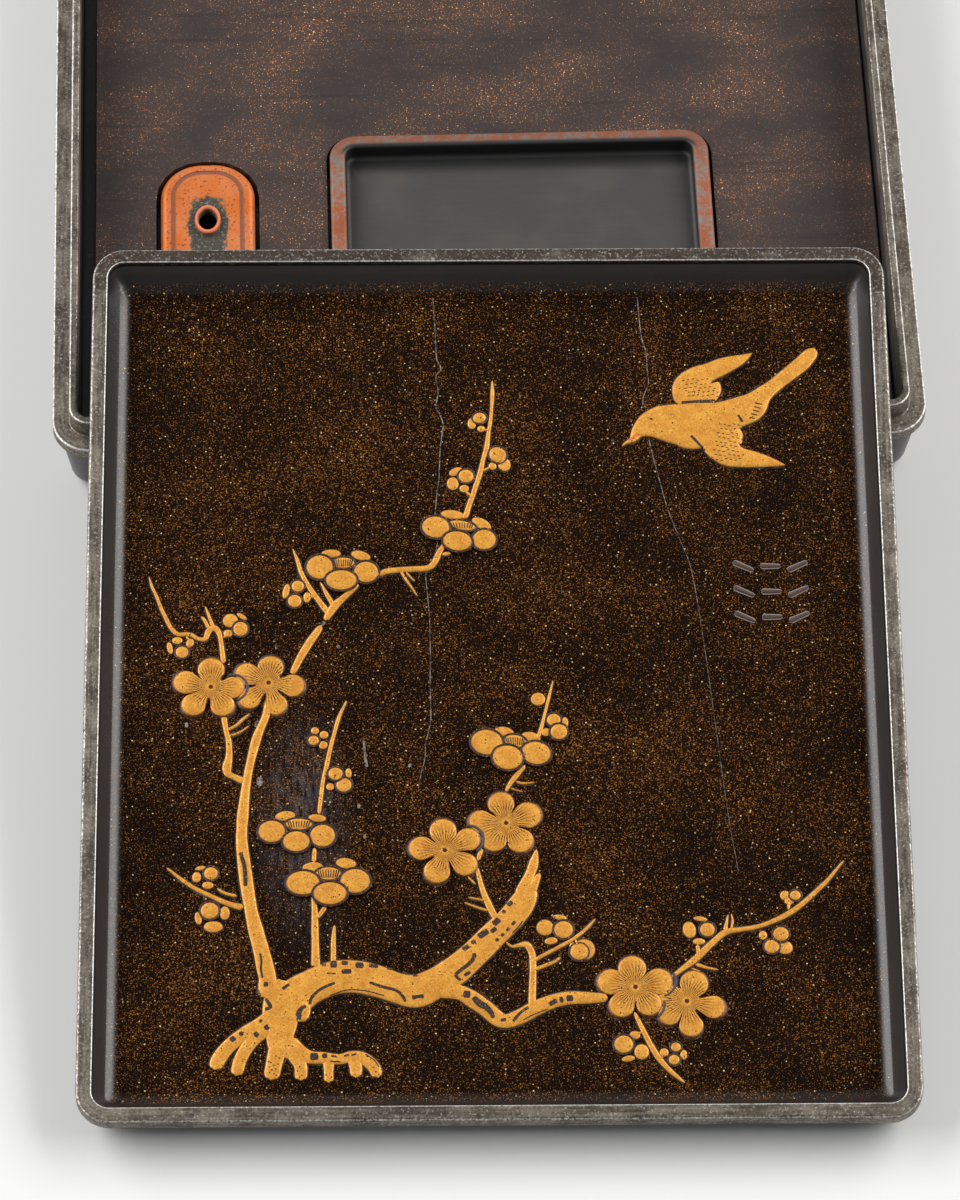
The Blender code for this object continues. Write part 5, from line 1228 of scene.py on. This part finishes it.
# Blossoms seen from the side, and buds: separate oval petals, the nearer ones over the ones behind
# with a dark gap between. Each petal has its place, width, height, turn in degrees and layer.
OVALS = [
    (-39.6, 34.2, 4.9, 2.3, 0, 0), (-32.3, 33.6, 5.0, 2.6, -18, 0), (-36.6, 31.6, 5.6, 3.0, 0, 1),
    (-42.4, 30.4, 6.7, 6.7, 0, 2), (-31.0, 29.0, 6.1, 5.9, 0, 2), (-37.1, 26.8, 7.8, 5.6, 0, 3),
    (-9.6, 44.7, 6.0, 2.6, -8, 0), (-2.5, 42.2, 5.4, 2.8, -32, 0), (-7.3, 41.7, 6.9, 2.6, -12, 1),
    (-13.8, 41.2, 7.0, 6.1, -12, 2), (-1.9, 37.7, 5.9, 5.7, 0, 2), (-8.5, 37.3, 7.3, 5.5, -10, 3),
    (-11.25, 34.0, 2.2, 1.1, 10, 0),
    (-50.6, -35.9, 5.0, 2.6, 8, 0), (-42.9, -36.5, 4.4, 2.1, -6, 0), (-47.3, -38.1, 6.6, 3.0, 0, 1),
    (-53.8, -40, 6.6, 5.9, 0, 2), (-41.6, -41.2, 6.2, 6.0, 0, 2), (-47.9, -42.7, 6.6, 5.5, 0, 3),
    (-44, -49.2, 5, 2.6, 5, 0), (-36, -48.3, 5, 2.8, -8, 0), (-40.2, -51, 6.2, 3.4, 0, 1),
    (-46.3, -53.4, 8.2, 6.4, 0, 2), (-33.8, -53, 7.3, 6.5, 0, 2), (-39.8, -56.2, 8.2, 6.0, 0, 3),
    (2.3, -14, 4.8, 2.6, -10, 0), (8.8, -15.6, 4.8, 3.0, -15, 0), (5, -16.6, 5.6, 3.4, -12, 1),
    (-1.9, -16.9, 7.9, 6.9, -13, 2), (10, -19.8, 7.3, 6.2, -13, 2), (3.1, -21, 7.5, 6.6, -10, 3),
    (11.4, -65.2, 4.2, 4.2, 0, 0), (15, -62.6, 3.4, 1.4, -10, 0), (12.8, -68.6, 3.2, 1.9, 10, 0),
    (15.8, -65.8, 4.6, 4.6, 0, 1),
    (20.6, -70.9, 5.4, 5.6, 0, 0), (18.0, -69.9, 1.8, 1.8, 0, 0), (19.4, -71.5, 4.3, 4.3, 0, 1),
    (-64.9, -61, 2.4, 3.6, 0, 0), (-67.6, -64.5, 4.6, 3, 0, 0), (-71.2, -62.3, 1.7, 3.4, 10, 0),
    (-68.5, -60.4, 4.4, 4.4, 0, 1),
    (-70.8, -49.4, 2.6, 1.2, 10, 0), (-71.7, -51.7, 2.2, 2.8, 0, 0), (-69, -53.8, 2.8, 2, 0, 0),
    (-68.3, -50.8, 3.4, 3.4, 0, 1),
    (45.8, -66, 3.2, 4.4, 10, 0), (48.5, -63.2, 3.4, 1.3, -8, 0), (48, -69, 3.0, 1.7, 0, 0),
    (50.1, -66, 3.6, 3.7, 0, 1),
    (63.3, -67.5, 2.0, 2.4, 0, 0), (68.3, -70.6, 4.2, 3.6, -20, 0), (65.3, -70.4, 3.6, 3.6, 0, 1),
    (67.6, -67.3, 3.8, 3.8, 0, 2),
    (68.9, -57.3, 2.4, 2.6, 0, 0), (69.9, -58.8, 2.4, 1.8, 0, 0), (71.4, -57.3, 2.6, 2.6, 0, 1),
    (32.2, -92.7, 2.6, 2.2, 0, 0), (30.5, -98.6, 3.2, 1.6, 10, 0), (33.7, -96.9, 3.6, 4, 0, 0),
    (29.5, -95, 4.6, 4.6, 0, 1),
    (39, -97.1, 2.2, 2.2, 0, 0), (43.6, -97.7, 1.7, 2.6, 0, 0), (41.8, -95.8, 2.4, 2.4, 0, 1),
    (41.3, -99.0, 2.6, 2.6, 0, 1),
    (-43.5, -13.5, 2.0, 2.0, 0, 0), (-41.3, -14.6, 2.2, 2.2, 0, 0), (-41.5, -17.3, 2.2, 2.2, 0, 0),
    (-43.8, -16.1, 2.6, 2.6, 0, 1),
    (-35.4, -24.8, 1.6, 2.8, 0, 0), (-39.8, -28.3, 2.0, 2.0, 0, 0), (-36.5, -27.9, 3.8, 3.8, 0, 1),
    (-38.5, -25, 3.6, 3.4, 0, 2),
    (10.7, -5.4, 3.6, 3.6, 0, 0),
    (17.1, -11.7, 1.7, 3, 0, 0), (12.5, -14.2, 2.4, 2.2, 0, 0), (14.4, -11, 3.4, 3.4, 0, 1),
    (15.6, -14.2, 4.2, 4.2, 0, 2),
    (-64.2, 16.1, 3.8, 3.8, 0, 0), (-61.4, 17.2, 3.0, 1.2, -38, 0), (-64.7, 12.7, 2.4, 2.0, 0, 0),
    (-61.7, 13.8, 3.6, 4.0, 0, 1),
    (-78.9, 8.75, 1.4, 3.4, 12, 0), (-77.1, 10.8, 2.6, 2.0, 0, 0), (-74, 10.1, 1.9, 2.6, -20, 0),
    (-75.9, 7.6, 3.2, 3.2, 0, 1),
    (-50.6, 24, 1.7, 4.2, -12, 0), (-45.5, 22.3, 1.9, 3.0, -8, 0), (-47.75, 25.3, 3.1, 3.2, 0, 1),
    (-48.5, 21.2, 3.4, 3.6, 0, 2),
    (-8.75, 56.6, 3.6, 2.2, 28, 0), (-9.5, 53.3, 3.0, 3.7, 0, 0), (-6.7, 51.9, 2.4, 2.2, 0, 0),
    (-6.2, 55.3, 3.8, 3.8, 0, 1),
    (3.3, 58.6, 3.2, 4.0, 15, 0), (0.4, 58.1, 2.0, 2.2, 0, 0), (1.7, 61.2, 4.2, 4.6, 35, 1),
    (-4.6, 70, 2.2, 3.2, 0, 0), (-2.3, 68.5, 2.0, 1.8, 0, 0), (-2.7, 71.5, 3.3, 3.0, 20, 1),
]
OVAL_BEARINGS = 40
OVAL_ROWS = np.array([1, 1, 1, 1, 0.98, 0.93, 0.84, 0.7, 0.5, 0.25, 0.03])
OVAL_HALO_SHARE = 0.6
OVAL_SKIRT = np.array([1, 1, 0.1] + [0] * 8) * HALO_WIDTH * OVAL_HALO_SHARE
OVAL_HALO = np.array([1, 1, 1] + [0] * 8)
OVAL_OUTLINE = np.array([0, 0, 0, 1, 1, 0.8, 0.3] + [0] * 4)
OVAL_HEIGHT = 0.45
LAYER_STEP = 0.14
PETAL_GAP = 0.44
COLLAR_LIFT = 0.03
COLLAR_ROWS = [(1.0, BURIED), (1.0, 0.92), (0.85, 1.0), (0.25, 1.0), (0.05, 0.9), (-0.6, 0.1)]


def oval_loop(x, y, width, height, turn, outset):
    """Points of a turned oval, drawn out by outset, anticlockwise."""
    bearings = np.arange(OVAL_BEARINGS) / OVAL_BEARINGS * 2 * math.pi
    reach_x = max(width / 2 + outset, LEAST_HALF_WIDTH) * np.cos(bearings)
    reach_y = max(height / 2 + outset, LEAST_HALF_WIDTH) * np.sin(bearings)
    cosine, sine = math.cos(math.radians(turn)), math.sin(math.radians(turn))
    return np.stack([x + reach_x * cosine - reach_y * sine, y + reach_x * sine + reach_y * cosine], axis=1)


def oval_petal(x, y, width, height, turn, layer):
    """Loops of a domed oval petal: ovals drawn in to the middle, rising as an ellipse from the rim."""
    loops = []
    for share, skirt in zip(OVAL_ROWS, OVAL_SKIRT):
        flat = oval_loop(x, y, width * share, height * share, turn, skirt)
        swell = EDGE_SHARE + (1 - EDGE_SHARE) * math.sqrt(1 - share ** 3)
        rise = layer * LAYER_STEP + OVAL_HEIGHT * swell
        loops.append(np.column_stack([flat, np.full(OVAL_BEARINGS, rise)]))
    loops = np.array(loops)
    loops[:3, :, 2] = np.array([BURIED, HALO_LEVEL, 2 * HALO_LEVEL])[:, None]
    return loops


def petal_collar(x, y, width, height, turn, layer):
    """Loops of the dark gap round a petal: a low wall over the petals behind, dished inside it."""
    top = (layer - 1) * LAYER_STEP + OVAL_HEIGHT + COLLAR_LIFT
    loops = []
    for share, rise in COLLAR_ROWS:
        flat = oval_loop(x, y, width, height, turn, share * PETAL_GAP)
        level = BURIED if rise < 0 else rise * top
        loops.append(np.column_stack([flat, np.full(OVAL_BEARINGS, level)]))
    return np.array(loops)


shells = [oval_petal(*entry) for entry in OVALS]
points, faces = gathered(shells)
halo = np.tile(np.repeat(OVAL_HALO, OVAL_BEARINGS), len(shells))
outlined = np.tile(np.repeat(OVAL_OUTLINE, OVAL_BEARINGS), len(shells))
make_piece("side_petals", on_lid(points), faces, raised_gold,
           values={"halo": halo, "outlined": outlined})
points, faces = gathered([petal_collar(*entry) for entry in OVALS if entry[5] > 0])
make_piece("petal_collars", on_lid(points), faces, bare_lacquer)

# Fine dark ribs drawn on the foreshortened middle petal of each large blossom: thin lines that fan out
# upwards and lie on the petal.
RIB_SHARES = (-0.32, -0.25, -0.17, -0.08, 0.0, 0.08, 0.17, 0.25, 0.32)
RIB_WIDTH = 0.22
RIB_FAN = 1.3
RIB_FOOT = 0.32
RIB_TIP = 0.28
LARGE_PETAL = 5.0
rib_lift = LAYER_STEP + OVAL_HEIGHT
ribs = []
for x, y, width, height, turn, layer in OVALS:
    if layer == 1 and width > LARGE_PETAL:
        for share in RIB_SHARES:
            ribs.append(thin_mark([(x + share * width, y - height * RIB_FOOT, RIB_WIDTH),
                                   (x + share * width * RIB_FAN, y + height * RIB_TIP, RIB_WIDTH)],
                                  rib_lift, on_gold=False))
points, faces = gathered(ribs)
make_piece("petal_ribs", on_lid(points), faces, bare_lacquer)

# The bird in flight: one rounded gold shape for head, body and tail and one for each wing. Each knot
# is a place on the middle line, with the half widths to its left and right.
BIRD = [
    [(32.6, 63.3, 0.1, 0.1), (33.6, 64.2, 0.45, 0.35), (35.3, 65.2, 0.9, 0.8), (36.8, 67.4, 1.9, 1.8),
     (39.5, 69.2, 3.7, 3.7), (43.1, 69.9, 5.1, 5.1), (46.9, 69.6, 5.8, 5.8), (50.7, 69.1, 6.5, 6.5),
     (56.2, 70.3, 5.5, 5.4), (61, 72.5, 4.2, 4.2), (65, 74.5, 3.7, 4.0), (68.2, 77.9, 2.2, 2.4),
     (71.5, 80.6, 1.9, 1.8), (75, 83.6, 2.0, 1.9), (78.3, 86.5, 2.1, 2.0), (80.7, 89.4, 1.7, 1.7),
     (81.4, 90.7, 1.2, 1.3)],
    [(56.8, 70.5, 6.0, 4.0), (57.2, 66.5, 5.7, 5.0), (57.9, 63.6, 5.0, 5.0), (59.3, 61.1, 4.0, 3.6),
     (62.0, 59.8, 3.1, 2.4), (65.5, 59.2, 2.6, 1.8), (69, 58.6, 1.7, 1.1), (71.3, 58.2, 0.9, 0.6),
     (73.0, 57.9, 0.1, 0.1)],
    [(53.4, 74.0, 6.0, 6.2), (52.2, 77.5, 6.6, 6.6), (51.2, 80.4, 5.6, 5.6), (52.0, 82.6, 3.4, 4.4),
     (54.5, 84.0, 2.6, 2.7), (58, 85.7, 2.3, 2.4), (61.7, 87.2, 1.7, 1.7), (64, 88.4, 0.8, 1.0),
     (65.8, 89.4, 0.1, 0.1)],
]
BIRD_HEIGHTS = (0.74, 0.66, 0.58)
lay_gold("flying_bird", [domed_band(knots, height) for knots, height in zip(BIRD, BIRD_HEIGHTS)])

# The bird's eye, the lines between body and wings, the dashes under its tail and the rows of short
# feathers on both wings, all left dark in the gold.
BIRD_MARKS = [
    [(39.9, 70.6, 0.85), (40.1, 71.1, 0.85)],
    [(54.9, 70.5, 0.5), (54.9, 70.8, 0.5)],
    [(47.7, 75.5, 0.8), (50.5, 75.7, 0.7), (53.3, 75.8, 0.9), (56, 75.9, 0.9), (58.3, 76.3, 0.7)],
    [(58.8, 76.5, 0.5), (60.4, 77.0, 0.4), (63.3, 78.0, 0.4)],
    [(64.4, 78.5, 0.4), (66.7, 79.7, 0.5)],
    [(42.0, 74.7, 0.3), (44.5, 75.1, 0.3), (46.8, 75.3, 0.4)],
    [(49.8, 66.2, 0.6), (51.5, 64.2, 0.6), (53.3, 62.1, 0.4)],
    [(61.7, 71.9, 0.6), (62.8, 69.9, 0.6)],
    [(66.0, 75.2, 0.35), (67.9, 74.8, 0.3)],
    [(65.8, 74.2, 0.35), (67.5, 73.7, 0.3)],
    [(65.4, 73.2, 0.35), (67.1, 72.7, 0.3)],
    [(65.0, 72.2, 0.35), (66.6, 71.8, 0.3)],
    [(64.6, 71.2, 0.35), (65.9, 70.9, 0.3)],
]
FEATHER_WIDTH = 0.22
FEATHER_TIP = 0.18
FEATHER_OFFSET = 0.5


def feather_rows(first, rows, columns, apart, lean, drift, dash):
    """Short dashes in rows below the first place: apart holds the steps along a row and down to the
    next. A row leans sideways by lean, every second one is offset, and each place in a run of three
    drifts further up or down. dash is the way from a feather's root to its tip."""
    made = []
    for row in range(rows):
        for column in range(columns):
            x = first[0] + column * apart[0] + FEATHER_OFFSET * (row % 2) + row * lean
            y = first[1] - row * apart[1] + drift * (column % 3)
            made.append([(x, y, FEATHER_WIDTH), (x + dash[0], y + dash[1], FEATHER_TIP)])
    return made


lower_wing = feather_rows((56.84, 69.4), 9, 7, (1.15, 1.2), -0.28, -0.25, (0.75, -0.12))
upper_wing = feather_rows((48.0, 81.6), 5, 8, (1.2, 1.1), 0.3, 0.2, (0.7, 0.2))
feathers = lower_wing + upper_wing
points, faces = gathered([thin_mark(knots) for knots in BIRD_MARKS + feathers])
make_piece("bird_marks", on_lid(points), faces, bare_lacquer)

# The beak's line, touched in with red lacquer.
BEAK_LINE = [(34.2, 64.9, 0.3), (35.6, 65.9, 0.5), (37.1, 66.9, 0.3)]

# Red lacquer: gives a soft orange red with a faint grain.
red_lacquer, tree, shader = new_material("red_lacquer")
place = add_node(tree, "TexCoord", {}).outputs["Object"]
grains = add_node(tree, "TexNoise", {"Vector": place, "Scale": 1 / (0.6 * MM), "Detail": 2})
tone = add_node(tree, "Mix", {0: grains.outputs[0], 6: linear("#C4491C"), 7: linear("#E8763A")},
                data_type="RGBA")
tree.links.new(tone.outputs[2], shader.inputs["Base Color"])
shader.inputs["Roughness"].default_value = 0.45
loops = thin_mark(BEAK_LINE, MARK_LIFT * 2)
make_piece("beak_line", on_lid(loops), skin(loops), red_lacquer)

# Rows of short shallow strokes below the bird: low ridges of the ground lacquer with a rubbed top.
STROKE_MIDDLE = (68.4, 23.4)
STROKE_LENGTH = 5.0
STROKE_WIDTH = 1.1
STROKE_TIP = 0.6
STROKE_LEAN = 1.2
STROKE_COLUMN_STEP = 6.7
STROKE_ROW_STEP = 6.9
STROKE_HEIGHT = 0.35
strokes = []
for row in (-1, 0, 1):
    for column in (-1, 0, 1):
        x = STROKE_MIDDLE[0] + column * STROKE_COLUMN_STEP
        y = STROKE_MIDDLE[1] + row * STROKE_ROW_STEP
        lean = column * STROKE_LEAN
        strokes.append([(x - STROKE_LENGTH / 2, y - lean, STROKE_WIDTH),
                        (x + STROKE_LENGTH / 2, y + lean, STROKE_WIDTH * STROKE_TIP)])

# Rubbed ground lacquer: gives a dull brown ridge with a pale grey worn line round its foot.
rubbed_lacquer, tree, shader = new_material("rubbed_lacquer")
place = add_node(tree, "TexCoord", {}).outputs["Object"]
halo = add_node(tree, "Attribute", {}, attribute_name="halo").outputs["Fac"]
rub_noise = add_node(tree, "TexNoise", {"Vector": place, "Scale": 1 / (1.4 * MM), "Detail": 4,
                                        "Roughness": 0.7})
tone = add_node(tree, "Mix", {0: rub_noise.outputs[0], 6: linear("#2E1E1A"), 7: linear("#5E463E")},
                data_type="RGBA")
edged = add_node(tree, "Mix", {0: halo, 6: tone.outputs[2], 7: linear("#857771")}, data_type="RGBA")
tree.links.new(edged.outputs[2], shader.inputs["Base Color"])
shader.inputs["Roughness"].default_value = 0.45
shells = [domed_band(knots, STROKE_HEIGHT) for knots in strokes]
points, faces = gathered(shells)
halo = np.tile(BAND_HALO, sum(len(shell) for shell in shells))
make_piece("shallow_strokes", on_lid(points), faces, rubbed_lacquer, values={"halo": halo})

# Two long age cracks in the field and small pale scuffs: thin marks that lie on the ground lacquer.
CRACK_NARROWING = 0.6
CRACK_LEAST = 0.08
CRACKS = [
    [(-14, 105.8, 0.35), (-13.6, 97, 0.3), (-13.3, 90, 0.45), (-13.1, 87.9, 0.4), (-12.2, 85.6, 0.5),
     (-13.3, 83.75, 0.25), (-13.4, 81.7, 0.25), (-12.9, 79.2, 0.4), (-13.5, 74.8, 0.4),
     (-12.7, 72.9, 0.3), (-11.75, 70, 0.45), (-12.1, 66.7, 0.35), (-12.5, 63.3, 0.25),
     (-12.7, 60, 0.35), (-12.9, 55, 0.3), (-13.5, 50, 0.3), (-14, 44.6, 0.35)],
    [(-13.3, 38.5, 0.3), (-13.75, 35, 0.3), (-14.7, 32.5, 0.25), (-16.25, 28.75, 0.35),
     (-16.25, 26.25, 0.3), (-15.6, 18, 0.2), (-15.4, 8, 0.25), (-15.5, -0.8, 0.35), (-15.4, -10, 0.3),
     (-16, -13.8, 0.3), (-16.7, -16.7, 0.35), (-16.9, -20.8, 0.25), (-17.9, -25, 0.25),
     (-18.3, -28.3, 0.15)],
    [(37.4, 105.8, 0.3), (38.1, 95, 0.4), (39.2, 90, 0.35), (39.4, 85, 0.3), (39.6, 81.25, 0.25),
     (38.3, 77.5, 0.3), (38.1, 74.8, 0.3)],
    [(39.4, 65.4, 0.3), (40, 62.1, 0.35), (40.8, 58.3, 0.35), (41.9, 53.3, 0.3), (43.6, 46, 0.25),
     (46.2, 38, 0.2), (49, 29, 0.25), (51.4, 10, 0.15), (53.6, -12, 0.15), (56, -36, 0.12),
     (58, -51, 0.1)],
]
SCUFFS = [
    [(-74.6, -11.0, 0.6), (-74.6, -12.4, 0.8)], [(-57.3, -10.6, 1.2), (-57.4, -12.4, 1.5)],
    [(-56.8, -25.6, 1.2), (-56.8, -27.9, 1.5)], [(-33.3, -33.3, 1.2), (-32.5, -33.3, 1.2)],
    [(-31.8, -15.5, 0.4), (-31, -23, 0.7)], [(-31.9, -41.2, 1.1), (-31.2, -41.2, 1.1)],
    [(-12.9, -18.3, 0.6), (-12.5, -18.4, 0.6)], [(-20.9, -22.5, 0.9), (-20.3, -22.9, 1.1)],
    [(-53.2, 9.9, 0.3), (-52.9, 8.4, 0.5)], [(-38.2, 9.4, 0.8), (-37.5, 8.6, 0.6)],
    [(-41.9, 15.7, 1.2), (-41.2, 15.0, 1.0)],
]

# Pale wear: gives a broken grey line that sinks back here and there into the brown black ground.
pale_wear, tree, shader = new_material("pale_wear")
place = add_node(tree, "TexCoord", {}).outputs["Object"]
wear_noise = add_node(tree, "TexNoise", {"Vector": place, "Scale": 1 / (1.2 * MM), "Detail": 3,
                                         "Roughness": 0.7})
wear_share = add_node(tree, "MapRange", {"Value": wear_noise.outputs[0], "From Min": 0.40, "From Max": 0.62})
tone = add_node(tree, "Mix", {0: wear_share.outputs[0], 6: linear("#1E1410"), 7: linear("#8E8480")},
                data_type="RGBA")
tree.links.new(tone.outputs[2], shader.inputs["Base Color"])
shader.inputs["Roughness"].default_value = 0.6
narrowed = [[(x, y, max(width * CRACK_NARROWING, CRACK_LEAST)) for x, y, width in crack] for crack in CRACKS]
points, faces = gathered([thin_mark(knots, on_gold=False) for knots in narrowed + SCUFFS])
make_piece("cracks_and_scuffs", on_lid(points), faces, pale_wear)

# The pale floor under the box, a soft studio light high on each side and a little behind, and the
# camera. They belong to the studio, not to the object.
FLOOR_SIZE = 6000.0

# Matt floor paint: gives a plain pale grey.
floor_paint, tree, shader = new_material("studio_floor")
shader.inputs["Base Color"].default_value = linear("#E2E2E0")
shader.inputs["Roughness"].default_value = 0.8
corners = np.array([(-1, -1, 0), (1, -1, 0), (1, 1, 0), (-1, 1, 0)]) * (FLOOR_SIZE / 2 * MM)
floor_mesh = bpy.data.meshes.new("studio_floor")
floor_mesh.from_pydata(corners.tolist(), [], [(0, 1, 2, 3)])
floor_mesh.materials.append(floor_paint)
floor = bpy.data.objects.new("studio_floor", floor_mesh)
bpy.context.scene.collection.objects.link(floor)

LIGHTS = {
    "left_softbox": ((-1500, 500, 1250), (2600, 1100), 50.0, "#FFFFFF"),
    "right_softbox": ((1500, 450, 1250), (2600, 1100), 47.0, "#FFFEFC"),
}
for name, (where, size, power, colour) in LIGHTS.items():
    lamp = bpy.data.lights.new(name, "AREA")
    lamp.shape = "RECTANGLE"
    lamp.size = size[0] * MM
    lamp.size_y = size[1] * MM
    lamp.energy = power
    lamp.color = linear(colour)[:3]
    hung = bpy.data.objects.new(name, lamp)
    hung.location = np.array(where) * MM
    hung.rotation_euler = (-hung.location).to_track_quat("-Z", "Y").to_euler()
    bpy.context.scene.collection.objects.link(hung)

surround = bpy.data.worlds.new("studio_surround")
surround.use_nodes = True
surround.node_tree.nodes["Background"].inputs["Color"].default_value = linear("#E6EAEE")
surround.node_tree.nodes["Background"].inputs["Strength"].default_value = 0.26
bpy.context.scene.world = surround

CAMERA_PLACE = (-42.3, -838.1, 1139.7)
CAMERA_DOWN = math.radians(55.847)
CAMERA_YAW = math.radians(-2.853)
CAMERA_ROLL = math.radians(1.032)
CAMERA_LENS = 165.0
SENSOR_HEIGHT = 36.0
lens = bpy.data.cameras.new("camera")
lens.sensor_fit = "VERTICAL"
lens.sensor_height = SENSOR_HEIGHT
lens.lens = CAMERA_LENS
lens.clip_end = 10.0
camera = bpy.data.objects.new("camera", lens)
camera.location = np.array(CAMERA_PLACE) * MM
turning = Matrix.Rotation(CAMERA_YAW, 3, "Z") @ Matrix.Rotation(math.pi / 2 - CAMERA_DOWN, 3, "X")
camera.rotation_euler = (turning @ Matrix.Rotation(CAMERA_ROLL, 3, "Z")).to_euler()
bpy.context.scene.collection.objects.link(camera)
bpy.context.scene.camera = camera
bpy.context.scene.view_settings.view_transform = "Standard"
